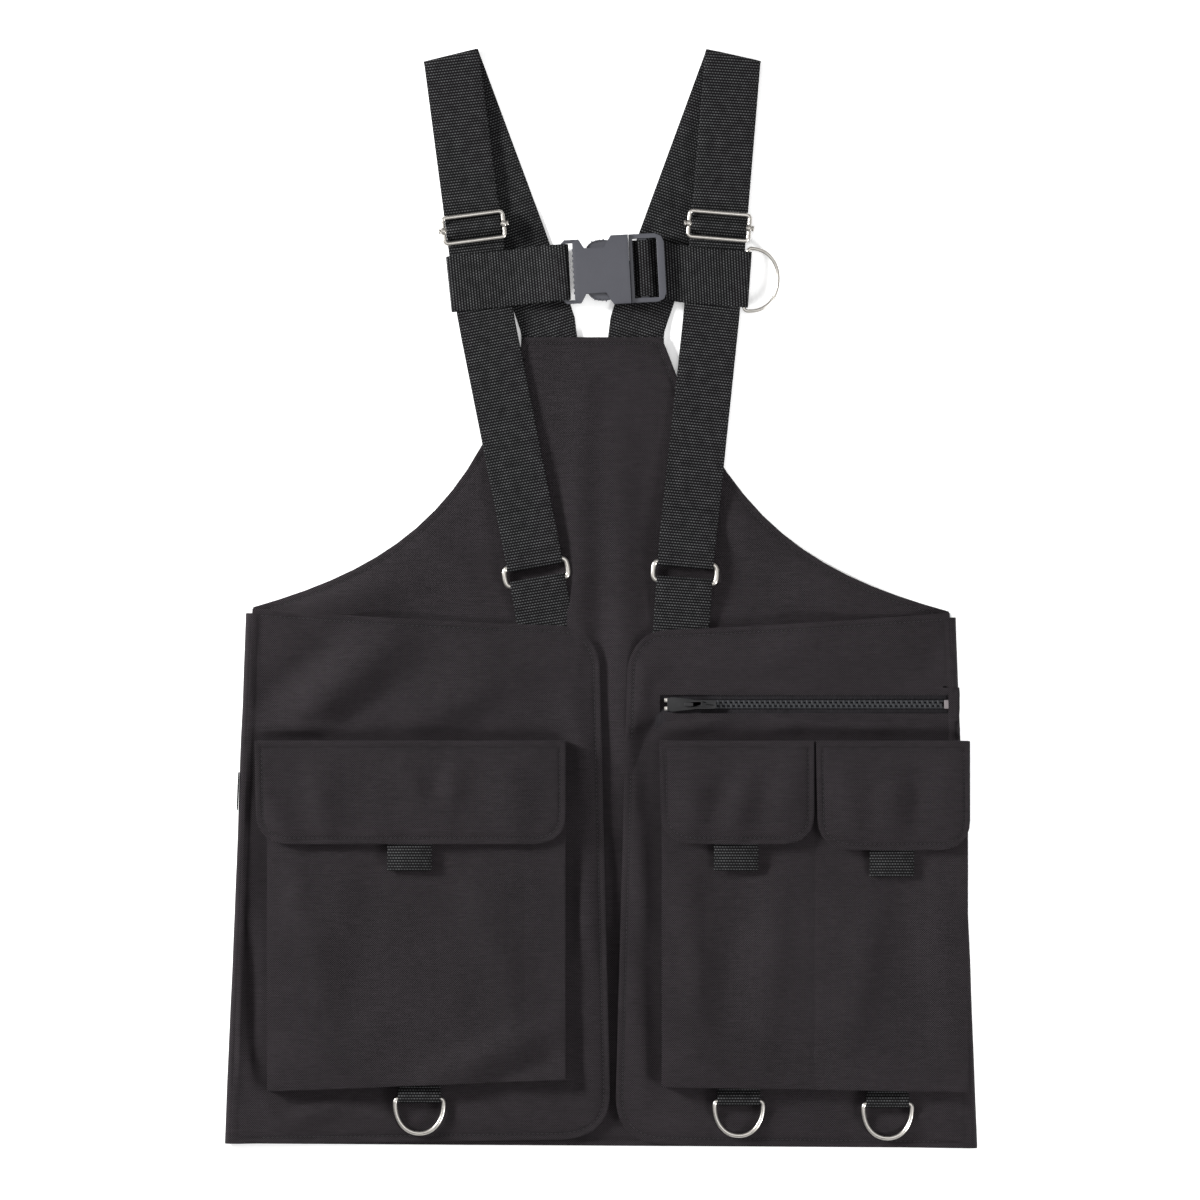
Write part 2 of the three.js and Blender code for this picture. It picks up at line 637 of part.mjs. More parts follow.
function shoulderStrap(endX, foldX, chestX, chestLevel) {
  const back = new THREE.CatmullRomCurve3([
    new THREE.Vector3(endX, backTopY - strapEndLength, strapEndZ + webbingThickness / 2),
    new THREE.Vector3(endX, backTopY - 8, strapEndZ + webbingThickness / 2),
    new THREE.Vector3(endX, backTopY + 5, strapEndZ + webbingThickness / 2),
    new THREE.Vector3(endX + (foldX - endX) * 0.1, backTopY + 26, backStrapMid),
    new THREE.Vector3(endX + (foldX - endX) * 0.3, backTopY + (foldY - backTopY) * 0.34, backStrapMid),
    new THREE.Vector3(endX + (foldX - endX) * 0.65, backTopY + (foldY - backTopY) * 0.67, backStrapMid),
    new THREE.Vector3(foldX, foldY, backStrapMid),
  ], false, "centripetal");
  const front = new THREE.LineCurve3(
    new THREE.Vector3(foldX, foldY, frontStrapMid),
    new THREE.Vector3(chestX, chestLevel, frontStrapMid),
  );
  const backAlong = back.getTangentAt(1);
  const frontAlong = front.getTangentAt(0);
  const backAcross = new THREE.Vector3(backAlong.y, -backAlong.x, 0);
  const foldAcross = backAcross.clone().add(new THREE.Vector3(-frontAlong.y, frontAlong.x, 0)).normalize();
  const outward = new THREE.Vector3(-foldAcross.y, foldAcross.x, 0);
  const radius = (frontStrapMid - backStrapMid) / 2;
  const backSections = sectionsAlong(back, 26, foldAcross, true);
  const half = backSections.at(-1).half;
  const turn = Array.from({ length: 7 }, (_, i) => {
    const angle = THREE.MathUtils.degToRad(-67.5 + 22.5 * i);
    const lift = backStrapMid + radius + radius * Math.sin(angle);
    const centre = new THREE.Vector3(foldX, foldY, lift).addScaledVector(outward, radius * Math.cos(angle));
    const along = outward.clone().multiplyScalar(-Math.sin(angle));
    along.z = Math.cos(angle);
    return { centre, half, along };
  });
  const frontSections = sectionsAlong(front, 8, foldAcross.clone().negate(), false);
  frontSections.forEach((section) => section.half.negate());
  return ribbon([...backSections, ...turn, ...frontSections], webbingThickness);
}

const leftChest = new THREE.Vector3(leftChestX, chestY - 5, 0);
const rightChest = new THREE.Vector3(rightChestX, chestY - 4, 0);
addPart("left_shoulder_strap",
  shoulderStrap(leftStrapEnd, leftFoldX, leftChest.x, leftChest.y + seat), webbing);
addPart("right_shoulder_strap",
  shoulderStrap(rightStrapEnd, rightFoldX, rightChest.x, rightChest.y + seat), webbing);

// The strap's lower part: down to the oval ring, round its upper bar and back up underneath.
function lowerStrap(oval, tilt, chest, foldX) {
  const turned = THREE.MathUtils.degToRad(tilt);
  const up = new THREE.Vector3(-Math.sin(turned), Math.cos(turned), 0);
  const bar = new THREE.Vector3(oval.x, oval.y, 0).addScaledVector(up, ovalWidth / 2);
  const strapUp = new THREE.Vector3(foldX, foldY, 0).sub(chest).normalize();
  const first = bar.clone().addScaledVector(up, 14);
  const last = chest.clone().addScaledVector(strapUp, -webbingWidth / 2);
  const middle = first.clone().lerp(last, 0.5);
  const centreLine = new THREE.CatmullRomCurve3([bar, first, middle, last, chest], false, "centripetal");
  const length = centreLine.getLength() - seat;
  const overLining = length - (chest.y - backTopY) + 4;
  const radius = ovalWire / 2 + seat + webbingThickness / 2;
  const path = [
    point(length, frontStrapMid),
    point(overLining + 14, frontStrapMid),
    point(overLining - 2, tabMidZ + layer),
    point(length * 0.5, tabMidZ + layer + 0.6),
    point(26, ovalZ + radius - 1.2),
    point(12, ovalZ + radius - 0.3),
    ...arcPoints(0, ovalZ, radius, 90, 270, 8),
    point(12, tabMidZ),
    point(overLining - 2, tabMidZ),
    point(overLining + 14, returnMid),
    point(length, returnMid),
  ];
  return layAlong(acrossWidth(stripShape(path, webbingThickness), webbingWidth), centreLine);
}

addPart("left_lower_strap", lowerStrap(leftOval, leftOvalTilt, leftChest, leftFoldX), webbing);
addPart("right_lower_strap", lowerStrap(rightOval, rightOvalTilt, rightChest, rightFoldX), webbing);

// ---- Sliders (tri-glides): a wire frame, a bar pinned across it and the webbing humped over the bar ----

function triGlideFrame() {
  const half = point(triGlideLength / 2, triGlideWidth / 2);
  const corner = 2.5;
  const path = [
    ...arcPoints(half.x - corner, half.y - corner, corner, 0, 90, 3),
    ...arcPoints(corner - half.x, half.y - corner, corner, 90, 180, 3),
    ...arcPoints(corner - half.x, corner - half.y, corner, 180, 270, 3),
    ...arcPoints(half.x - corner, corner - half.y, corner, 270, 360, 3),
  ];
  let frame = solidOf(wireLoop(path, triGlideWire));
  [-1, 1].forEach((side) => {
    const boss = new THREE.CylinderGeometry(triGlideBoss / 2, triGlideBoss / 2, triGlideWire, 12);
    frame = frame.add(solidOf(boss.rotateZ(Math.PI / 2).translate(side * half.x, 0, 0)));
    const hole = new THREE.CylinderGeometry(barNeck + seat, barNeck + seat, triGlideWire * 3, 12);
    frame = frame.subtract(solidOf(hole.rotateZ(Math.PI / 2).translate(side * half.x, 0, 0)));
  });
  return geometryOf(frame);
}

function pinnedBar() {
  const inner = triGlideLength / 2 - triGlideWire / 2 - seat;
  const outer = triGlideLength / 2 + triGlideWire / 2 + seat;
  const end = outer + barHeadLength;
  const profile = [
    point(0, -end), point(barHeadRadius, -end), point(barHeadRadius, -outer), point(barNeck, -outer),
    point(barNeck, -inner), point(barRadius, -inner), point(barRadius, inner), point(barNeck, inner),
    point(barNeck, outer), point(barHeadRadius, outer), point(barHeadRadius, end), point(0, end),
  ];
  return new THREE.LatheGeometry(profile, 10).rotateZ(Math.PI / 2);
}

function barHump() {
  const low = -triGlideBoss / 2 + webbingThickness / 2;
  const crest = barRadius + seat + webbingThickness / 2;
  const path = [
    point(-6.4, low), point(-5, low + 0.3), point(-3.2, low + 2.4), point(-1.6, crest - 0.5), point(0, crest),
    point(1.6, crest - 0.5), point(3.2, low + 2.4), point(5, low + 0.3), point(6.4, low),
  ];
  const width = triGlideLength - triGlideWire - 3 * seat;
  return acrossWidth(stripShape(path, webbingThickness), width).rotateZ(Math.PI / 2);
}

function addTriGlide(side, chest, foldX) {
  const up = point(foldX, foldY).sub(point(chest.x, chest.y)).normalize();
  const centre = point(chest.x, chest.y).addScaledVector(up, triGlideRise);
  const tilt = THREE.MathUtils.radToDeg(Math.atan2(-up.x, up.y));
  const place = frameAt(centre.x, centre.y, frontStrapTop + seat + triGlideBoss / 2, tilt);
  addPart(`${side}_slider_frame`, triGlideFrame(), nickel, place);
  addPart(`${side}_slider_bar`, pinnedBar(), nickel, place);
  addPart(`${side}_slider_webbing`, barHump(), webbing, place);
}

addTriGlide("left", leftChest, leftFoldX);
addTriGlide("right", rightChest, rightFoldX);

// ---- Chest strap ----

const chest = frameAt(buckleX, chestY + 3.5, 0, buckleTilt);
const toChest = (world) => chest.worldToLocal(world.clone());
chest.updateMatrixWorld();

// Left half: a closed loop of webbing round the left brace and the socket's bar.
function leftChestStrap() {
  const end = toChest(leftChest).add(new THREE.Vector3(-webbingWidth / 2 - 0.2, 0, 0));
  const centreLine = new THREE.CatmullRomCurve3([
    end,
    new THREE.Vector3(end.x + 40, end.y * 0.45, 0),
    new THREE.Vector3(socketBarX - 8, 0, 0),
    new THREE.Vector3(socketBarX, 0, 0),
  ], false, "centripetal");
  const length = centreLine.getLength();
  const radius = Math.hypot(socketBarWidth, socketBarThickness) / 2 + seat + webbingThickness / 2;
  const path = [
    ...arcPoints(0, chestEndZ, chestEndRadius, 270, 90, 8),
    point(webbingWidth / 2, chestTopMid),
    point(webbingWidth + 4, chestTopMid),
    point(length - 18, buckleZ),
    point(length - 8, buckleZ + radius - 0.3),
    ...arcPoints(length, buckleZ, radius, 90, -90, 8),
    point(length - 8, buckleZ - radius - 0.2),
    point(length - 18, chestUnderMid + 2.4),
    point(webbingWidth + 7, chestUnderMid + 0.3),
    point(webbingWidth + 4, chestUnderMid),
    point(webbingWidth / 2, chestUnderMid),
  ];
  return layAlong(acrossWidth(stripShape(path, webbingThickness, true), webbingWidth), centreLine);
}

// Right half: from the plug's adjuster bar to the right brace and the chest ring behind it.
const ringBarGap = chestRingWire / 2 + 4 * seat;
const rightEnd = toChest(rightChest).add(new THREE.Vector3(webbingWidth / 2 + ringBarGap, 0, 0));
const rightCentreLine = new THREE.CatmullRomCurve3([
  new THREE.Vector3(adjusterBarX, 0, 0),
  new THREE.Vector3(adjusterBarX + 4, 0, 0),
  new THREE.Vector3(adjusterBarX + 8, 0, 0),
  new THREE.Vector3(plugEndX + 1, rightEnd.y * 0.22, 0),
  new THREE.Vector3(rightEnd.x - 40, rightEnd.y * 0.54, 0),
  new THREE.Vector3(rightEnd.x - 18, rightEnd.y * 0.8, 0),
  rightEnd,
], false, "centripetal");

function rightChestStrap() {
  const length = rightCentreLine.getLength();
  const half = adjusterBarWidth / 2;
  const over = adjusterBarThickness / 2 + seat + webbingThickness / 2;
  const belowPlug = buckleZ - plugThickness / 2 - seat - webbingThickness / 2;
  const barEnd = plugEndX - adjusterBarX;
  const path = [
    ...arcPoints(length, chestEndZ, chestEndRadius, -90, 90, 8),
    point(length - webbingWidth / 2, chestTopMid),
    point(length - webbingWidth - 4.5, chestTopMid),
    point(barEnd + 3, belowPlug),
    point(barEnd - 8, belowPlug),
    point(half + 2.2, buckleZ),
    point(half + 1.2, buckleZ + over - 0.5),
    point(half - 0.6, buckleZ + over),
    point(0.6 - half, buckleZ + over),
    point(-half - 0.8, buckleZ + over - 0.4),
    point(-half - 1, buckleZ),
    point(-half - 0.8, buckleZ - over + 0.4),
    point(0.6 - half, buckleZ - over),
    point(half - 1, buckleZ - over),
    point(barEnd - 8.5, belowPlug - layer),
    point(barEnd - 4.5, belowPlug - layer),
    point(barEnd + 3, belowPlug - layer),
    point(length - webbingWidth - 5, chestUnderMid),
    point(length - webbingWidth / 2, chestUnderMid),
  ];
  return layAlong(acrossWidth(stripShape(path, webbingThickness, true), webbingWidth), rightCentreLine);
}

addPart("left_chest_strap", leftChestStrap(), webbing, chest);
addPart("right_chest_strap", rightChestStrap(), webbing, chest);

const endAlong = rightCentreLine.getTangentAt(1);
const chestRingPlace = frameAt(rightEnd.x, rightEnd.y, chestEndZ,
  THREE.MathUtils.radToDeg(Math.atan2(endAlong.y, endAlong.x)), chest);
const chestRing = wireLoop(dRingPath(chestRingWidth, chestRingDepth), chestRingWire);
addPart("chest_ring", chestRing, nickel, chestRingPlace);

// ---- Side-release buckle, in a frame at its own middle ----

const buckle = frameAt(0, 0, buckleZ, 0, chest);
const buckleHalf = buckleHeight / 2;
const cavityHalf = buckleHalf - buckleWall - 0.3;
const shoulderX = -18.5; // where the socket narrows behind the release pads
const collarX = -2; // where it widens again into the mouth
const waistHalf = 15.4;

function mirrored(halfOutline) {
  const below = halfOutline.map((place) => point(place.x, -place.y)).reverse();
  return new THREE.Shape([...halfOutline, ...below]);
}

function socket() {
  const bodyStart = socketBarX + socketBarWidth / 2 + 4.6;
  const wingHalf = webbingWidth / 2 + seat + 2.4;
  const body = mirrored([
    point(bodyStart, 19.6), point(bodyStart + 4, wingHalf), point(shoulderX - 3, wingHalf - 1),
    point(shoulderX, waistHalf), point(collarX - 3, waistHalf), point(collarX, buckleHalf - 3),
    point(collarX + 2, buckleHalf), point(socketMouthX, buckleHalf),
  ]);
  const halfThick = socketThickness / 2;
  let solid = solidOf(slab(body, -halfThick, socketThickness));
  const roomHalf = halfThick - buckleWall;
  const room = block(shoulderX + 1, socketMouthX + 1, -cavityHalf, cavityHalf, -roomHalf, roomHalf);
  solid = solid.subtract(solidOf(room));
  const wings = mirrored([
    point(socketBarX - socketBarWidth / 2, wingHalf - 2.6), point(socketBarX + 1, wingHalf),
    point(bodyStart + 4.2, wingHalf),
  ]);
  const barHalf = socketBarWidth / 2;
  const slotHalf = webbingWidth / 2 + seat;
  let holder = solidOf(slab(wings, -socketBarThickness / 2, socketBarThickness));
  const slot = block(socketBarX + barHalf, bodyStart + 1, -slotHalf, slotHalf, -halfThick, halfThick);
  holder = holder.subtract(solidOf(slot));
  return geometryOf(solid.add(holder));
}

function plug() {
  const start = socketMouthX + seat;
  const halfThick = plugThickness / 2;
  const frame = mirrored([
    point(start, buckleHalf), point(plugEndX - 6, buckleHalf), point(plugEndX - 1.6, buckleHalf - 2),
    point(plugEndX, buckleHalf - 6),
  ]);
  let solid = solidOf(slab(frame, -halfThick, plugThickness));
  const windowHalf = buckleWindow / 2;
  const near = start + 2.4;
  const far = plugEndX - 5;
  solid = solid.subtract(solidOf(block(near, far, -windowHalf, windowHalf, -halfThick - 1, halfThick + 1)));
  const barX0 = adjusterBarX - adjusterBarWidth / 2;
  const barHalf = adjusterBarThickness / 2;
  const bar = block(barX0, barX0 + adjusterBarWidth, -windowHalf - 1, windowHalf + 1, -barHalf, barHalf);
  const tongue = block(shoulderX + 3, start + 1, -3.5, 3.5, -2.4, 2.4);
  return geometryOf(solid.add(solidOf(bar)).add(solidOf(tongue)));
}

const armRootX = socketMouthX;
const armRootInner = 13.5;
const armHalfThick = 3.8;

function releaseArm(side) {
  const outerHalf = cavityHalf - seat;
  const outline = new THREE.Shape();
  outline.moveTo(armRootX, side * armRootInner);
  outline.lineTo(armRootX, side * (outerHalf - 1.5));
  outline.lineTo(collarX, side * (outerHalf - 1));
  outline.bezierCurveTo(collarX - 5, side * (outerHalf + 0.2), -14, side * outerHalf, -16.9, side * 16);
  outline.lineTo(-16.5, side * 13.5);
  outline.lineTo(collarX, side * 12.8);
  return slab(outline, -armHalfThick, 2 * armHalfThick);
}

addPart("buckle_socket", socket(), buckleResin, buckle);
addPart("buckle_plug", plug(), buckleResin, buckle);
addPart("upper_release_arm", releaseArm(1), buckleResin, buckle);
addPart("lower_release_arm", releaseArm(-1), buckleResin, buckle);

// ---- Zip above the right pocket ----

const bagZ = liningTop + seat;
const soleZ = bagZ + bagThickness + seat;
const teethZ = soleZ + sliderSole + seat;
const teethStart = zipSlotInner + stopLength + sliderLength + 1.5;
const teethEnd = zipSlotOuter - stopLength - seat;

function teethRow(side) {
  const offset = side > 0 ? 0 : toothPitch / 2;
  const row = new THREE.Shape();
  row.moveTo(zipSlotInner + 4.2, side * cordOuter);
  row.lineTo(zipSlotInner + 4.2, side * cordInner);
  for (let x = teethStart + offset; x + toothWidth < teethEnd; x += toothPitch) {
    row.lineTo(x, side * cordInner);
    row.lineTo(x, -side * toothReach);
    row.lineTo(x + toothWidth, -side * toothReach);
    row.lineTo(x + toothWidth, side * cordInner);
  }
  row.lineTo(teethEnd, side * cordInner);
  row.lineTo(teethEnd, side * cordOuter);
  return slab(row, teethZ, toothHeight).translate(0, zipY, 0);
}

function zipTape(side) {
  const near = side * (cordOuter + seat);
  const far = side * tapeWidth;
  const low = frontZ - seat - tapeThickness;
  const rows = [zipY + Math.min(near, far), zipY + Math.max(near, far)];
  return block(zipSlotInner - 3, zipSlotOuter + 1, ...rows, low, low + tapeThickness);
}

addPart("upper_zip_tape", zipTape(1), webbing);
addPart("lower_zip_tape", zipTape(-1), webbing);
addPart("upper_zip_teeth", teethRow(1), zipResin);
addPart("lower_zip_teeth", teethRow(-1), zipResin);
const stopX0 = zipSlotOuter - stopLength;
const endStop = block(
  stopX0, zipSlotOuter - seat, zipY - cordOuter, zipY + cordOuter, teethZ, teethZ + toothHeight);
addPart("zip_end_stop", endStop, zipResin);
const pocketBag = block(
  zipSlotInner - 3, zipSlotOuter + 1, zipY - bagDrop, zipY + tapeWidth, bagZ, bagZ + bagThickness);
addPart("zip_pocket_bag", pocketBag, cloth);

const sliderX0 = zipSlotInner + stopLength;
const sliderTopZ = teethZ + toothHeight + seat;
const plateTop = sliderTopZ + sliderPlate;
const bridgeX1 = sliderLength - 0.5;
const pullPivot = point(sliderX0 + bridgeX1 - bridgeWall - 1.3, plateTop + bridgeRoom / 2);

function zipSlider() {
  const half = sliderWidth / 2;
  const railOut = half - 1.6;
  const railLow = frontZ + 0.1;
  const bridgeX0 = bridgeX1 - bridgeLength;
  const bridgeHalf = 1.2;
  const crown = plateTop + bridgeRoom;
  const sunk = plateTop - seat;
  const plate = new THREE.Shape();
  plate.moveTo(0, 1 - half);
  plate.lineTo(0, half - 1);
  plate.lineTo(3, half);
  plate.lineTo(sliderLength, railOut);
  plate.lineTo(sliderLength, -railOut);
  plate.lineTo(3, -half);
  const parts = [
    slab(plate, sliderTopZ, sliderPlate),
    slab(plate, soleZ, sliderSole),
    block(1, 4, seat - cordInner, cordInner - seat, soleZ + 0.2, sliderTopZ + 0.5),
    block(3, sliderLength, railOut - seat, railOut, railLow, sliderTopZ + 0.2),
    block(3, sliderLength, -railOut, seat - railOut, railLow, sliderTopZ + 0.2),
    block(bridgeX0, bridgeX0 + bridgeWall, -bridgeHalf, bridgeHalf, sunk, crown + 0.5),
    block(bridgeX1 - bridgeWall, bridgeX1, -bridgeHalf, bridgeHalf, sunk, crown + 0.5),
    block(bridgeX0, bridgeX1, -bridgeHalf, bridgeHalf, crown, crown + bridgeWall),
  ];
  const whole = parts.map(solidOf).reduce((sum, piece) => sum.add(piece));
  return geometryOf(whole).translate(sliderX0, zipY, 0);
}

function zipPull() {
  const half = pullWidth / 2;
  const outline = new THREE.Shape();
  outline.moveTo(-0.65, -half);
  outline.lineTo(pullLength - 2, -half);
  outline.quadraticCurveTo(pullLength, -half, pullLength, 0);
  outline.quadraticCurveTo(pullLength, half, pullLength - 2, half);
  outline.lineTo(-0.65, half);
  const eye = new THREE.Path();
  eye.moveTo(0.65, -1.7);
  eye.lineTo(0.65, 1.7);
  eye.lineTo(7.6, 1.7);
  eye.lineTo(7.6, -1.7);
  outline.holes.push(eye);
  return slab(outline, -pullThickness / 2, pullThickness).translate(pullPivot.x, zipY, pullPivot.y);
}

addPart("zip_slider", zipSlider(), paintedZinc);
addPart("zip_pull", zipPull(), paintedZinc);

export default vest;
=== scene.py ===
# Safety harness vest: dark woven cloth on ribbed webbing braces, laid flat on its back.
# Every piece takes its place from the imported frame. Sizes are metres.

import json
import math

import bmesh
import bpy
import numpy as np
from mathutils import Matrix, Vector, noise
from mathutils.bvhtree import BVHTree


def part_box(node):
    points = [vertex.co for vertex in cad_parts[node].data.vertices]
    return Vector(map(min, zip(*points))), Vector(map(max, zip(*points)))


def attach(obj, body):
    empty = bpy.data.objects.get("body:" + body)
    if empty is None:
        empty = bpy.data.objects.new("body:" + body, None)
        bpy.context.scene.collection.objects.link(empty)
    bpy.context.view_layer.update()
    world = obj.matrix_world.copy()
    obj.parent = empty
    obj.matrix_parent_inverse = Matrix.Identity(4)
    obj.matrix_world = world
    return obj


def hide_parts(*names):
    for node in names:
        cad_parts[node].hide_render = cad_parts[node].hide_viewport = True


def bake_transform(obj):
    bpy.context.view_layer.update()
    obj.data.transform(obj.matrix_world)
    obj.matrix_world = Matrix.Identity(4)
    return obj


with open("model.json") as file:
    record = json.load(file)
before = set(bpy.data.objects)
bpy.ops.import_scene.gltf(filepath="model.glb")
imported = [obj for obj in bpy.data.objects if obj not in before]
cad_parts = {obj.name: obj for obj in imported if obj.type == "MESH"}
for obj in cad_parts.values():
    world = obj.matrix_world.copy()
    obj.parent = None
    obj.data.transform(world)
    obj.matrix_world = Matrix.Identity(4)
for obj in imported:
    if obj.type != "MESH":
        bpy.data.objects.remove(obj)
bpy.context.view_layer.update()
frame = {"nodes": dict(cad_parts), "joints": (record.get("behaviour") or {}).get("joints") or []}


# ---- Table, lights and camera ----
# The vest lies on a plain white table that glows faintly, as a light table does, so that shadows on it
# stay pale. A broad soft light hangs over it, a strong low one comes from the left to show the folds and
# a weaker one from the right, and the camera looks straight down from far away.

table_size = 12.0
table_drop = 0.0003
table_glow = 0.2
camera_height = 5.0
view_width = 0.816
film_width = 36


class Signal:
    """One output of a node. Arithmetic on it adds Math nodes."""

    def __init__(self, tree, output):
        self.tree = tree
        self.output = output

    def node(self, kind, settings=None, values=None, output=0):
        made = self.tree.nodes.new(kind)
        for name, value in (settings or {}).items():
            setattr(made, name, value)
        for name, value in (values or {}).items():
            if isinstance(value, Signal):
                self.tree.links.new(value.output, made.inputs[name])
            else:
                made.inputs[name].default_value = value
        return Signal(self.tree, made.outputs[output])

    def part(self, axis):
        """The x, y or z of a place, numbered 0 to 2."""
        return self.node("ShaderNodeSeparateXYZ", None, {0: self}, output=axis)

    def maths(self, operation, *values):
        return self.node("ShaderNodeMath", {"operation": operation}, dict(enumerate(values)))

    def __add__(self, other):
        return self.maths("ADD", self, other)

    def __sub__(self, other):
        return self.maths("SUBTRACT", self, other)

    def __rsub__(self, other):
        return self.maths("SUBTRACT", other, self)

    def __mul__(self, other):
        return self.maths("MULTIPLY", self, other)

    __radd__ = __add__
    __rmul__ = __mul__

    def wave(self, pitch):
        return self.maths("SINE", self * (2 * math.pi / pitch))

    def blotches(self, scale, detail=2.0):
        values = {"Vector": self, "Scale": scale, "Detail": detail}
        return self.node("ShaderNodeTexNoise", None, values)

    def between(self, first, second):
        return self.node("ShaderNodeMix", {"data_type": "RGBA"}, {0: self, 6: first, 7: second}, output=2)

    def bump(self, depth, strength=1.0):
        values = {"Height": self, "Distance": depth, "Strength": strength}
        return self.node("ShaderNodeBump", None, values)


def new_finish(name, coordinates="Object", **constants):
    """A material, its shader and the coordinates that its pattern reads."""
    made = bpy.data.materials.new(name)
    made.use_nodes = True
    shader = made.node_tree.nodes["Principled BSDF"]
    for socket, value in constants.items():
        shader.inputs[socket.replace("_", " ")].default_value = value
    source = made.node_tree.nodes.new("ShaderNodeTexCoord").outputs[coordinates]
    return made, shader, Signal(made.node_tree, source)


def feed(shader, socket, signal):
    signal.tree.links.new(signal.output, shader.inputs[socket])


def add_object(name, mesh, material):
    made = bpy.data.objects.new(name, mesh)
    mesh.materials.clear()
    mesh.materials.append(material)
    bpy.context.scene.collection.objects.link(made)
    return made


table_finish, table_shader, table_place = new_finish(
    "table", Roughness=0.9, Specular_IOR_Level=0.1, Emission_Color=(1, 1, 1, 1),
    Emission_Strength=table_glow
)
table_tint = table_place.blotches(3.0).between((0.93, 0.93, 0.93, 1), (0.95, 0.95, 0.95, 1))
feed(table_shader, "Base Color", table_tint)
table_shape = bmesh.new()
bmesh.ops.create_grid(table_shape, x_segments=2, y_segments=2, size=table_size / 2)
bmesh.ops.translate(table_shape, verts=table_shape.verts, vec=(0, 0, -table_drop))
table_mesh = bpy.data.meshes.new("table")
table_shape.to_mesh(table_mesh)
add_object("table", table_mesh, table_finish)


def add_light(name, place, size, power):
    lamp = bpy.data.lights.new(name, "AREA")
    lamp.shape = "DISK"
    lamp.size = size
    lamp.energy = power
    holder = bpy.data.objects.new(name, lamp)
    holder.location = place
    holder.rotation_mode = "QUATERNION"
    holder.rotation_quaternion = Vector(place).to_track_quat("Z", "Y")
    bpy.context.scene.collection.objects.link(holder)


add_light("overhead", (0.2, 0.2, 2.6), 2.0, 18)
add_light("left", (-1.75, 0.62, 0.84), 0.45, 92)
add_light("right", (1.50, -1.10, 0.95), 0.5, 34)

world = bpy.data.worlds.new("studio")
world.use_nodes = True
world.node_tree.nodes["Background"].inputs["Color"].default_value = (1, 1, 1, 1)
world.node_tree.nodes["Background"].inputs["Strength"].default_value = 0.46
bpy.context.scene.world = world
bpy.context.scene.view_settings.view_transform = "Standard"

lens = bpy.data.cameras.new("camera")
lens.sensor_width = film_width
lens.lens = film_width * camera_height / view_width
lens.clip_end = 100
camera = bpy.data.objects.new("camera", lens)
camera.location = (-0.0007, -0.0014, camera_height)
bpy.context.scene.collection.objects.link(camera)
bpy.context.scene.camera = camera


# ---- Back: outer shell and lining ----
# Two layers of plain woven polyester, cut alike and sewn together round the armholes and the hem, with
# the ends of the braces between them at the top. A row of topstitching follows the neck and armholes.

weave_pitch = 0.0015
slub_length = 0.009
slub_stretch = 14
cloth_dark = (0.0020, 0.0021, 0.0019, 1)
cloth_light = (0.0330, 0.0278, 0.0315, 1)
# Painted shade: how much the cloth's colour darkens in the hem groove.
seam_shade = 0.42
thread_pitch = 0.0031
thread_length = 0.0024
thread_width = 0.00055
twist_pitch = 0.0006
thread_dark = (0.008, 0.007, 0.008, 1)
thread_light = (0.026, 0.024, 0.027, 1)
hem_inset = 0.0042
groove_width = 0.0008
groove_depth = 0.0007
groove_slice = 0.0011
cloth_edge = 0.00028
stitch_depth = groove_depth * 0.4


def cloth_finish():
    """Fine plain weave with uneven threads, with painted shade in the puckered groove along a seam."""
    made, shader, place = new_finish(
        "woven_polyester", Specular_IOR_Level=0.06, Sheen_Weight=0.02, Sheen_Roughness=0.45,
        Sheen_Tint=(1.0, 0.86, 0.98, 1)
    )
    x = place.part(0)
    y = place.part(1)
    weft = place.node("ShaderNodeMapping", None, {"Vector": place, "Scale": (1, slub_stretch, 1)})
    warp = place.node("ShaderNodeMapping", None, {"Vector": place, "Scale": (slub_stretch, 1, 1)})
    slubs = weft.blotches(1 / slub_length, 3.0)
    ends = warp.blotches(1 / slub_length, 3.0)
    # Broad blotches of tone, partly uneven dye and partly painted sheen patches.
    uneven_dye_and_sheen = place.blotches(11.0, 3.0)
    fine_dye_and_sheen = place.blotches(38.0, 2.0)
    threads = x.wave(weave_pitch) * y.wave(weave_pitch)
    # The seam attribute marks the hem groove, where the colour is darkened as painted shade.
    seam = place.node("ShaderNodeAttribute", {"attribute_name": "seam"}, output="Fac")
    grain = slubs * 1.5 + ends * 0.7 + threads * 2.5
    shade = grain + uneven_dye_and_sheen * 0.75 + fine_dye_and_sheen * 0.35 - seam * seam_shade - 1.27
    feed(shader, "Base Color", shade.between(cloth_dark, cloth_light))
    feed(shader, "Roughness", 0.86 - slubs * 0.3)
    feed(shader, "Normal", (threads + slubs * 1.6 + ends * 0.8).bump(0.00022, 0.9))
    return made


woven = cloth_finish()


def shape_of(node):
    """A CAD node's shape, with its triangles joined into whole faces."""
    shape = bmesh.new()
    shape.from_mesh(frame["nodes"][node].data)
    bmesh.ops.remove_doubles(shape, verts=shape.verts, dist=2e-6)
    bmesh.ops.dissolve_limit(shape, angle_limit=math.radians(0.5), verts=shape.verts, edges=shape.edges)
    return shape


def top_faces(shape):
    top = max(vert.co.z for vert in shape.verts)
    return [face for face in shape.faces if face.normal.z > 0.9 and face.verts[0].co.z > top - 1e-4]


def slice_across(shape, direction, places):
    for place in places:
        everything = [*shape.verts, *shape.edges, *shape.faces]
        bmesh.ops.bisect_plane(shape, geom=everything, plane_co=direction * place, plane_no=direction)


def round_edges(shape, width, segments=2, sharper_than=50):
    limit = math.radians(sharper_than)
    edges = [edge for edge in shape.edges if edge.is_manifold and edge.calc_face_angle() > limit]
    bmesh.ops.bevel(shape, geom=edges, offset=width, affect="EDGES", segments=segments, profile=0.5,
                    material=-1, clamp_overlap=True)


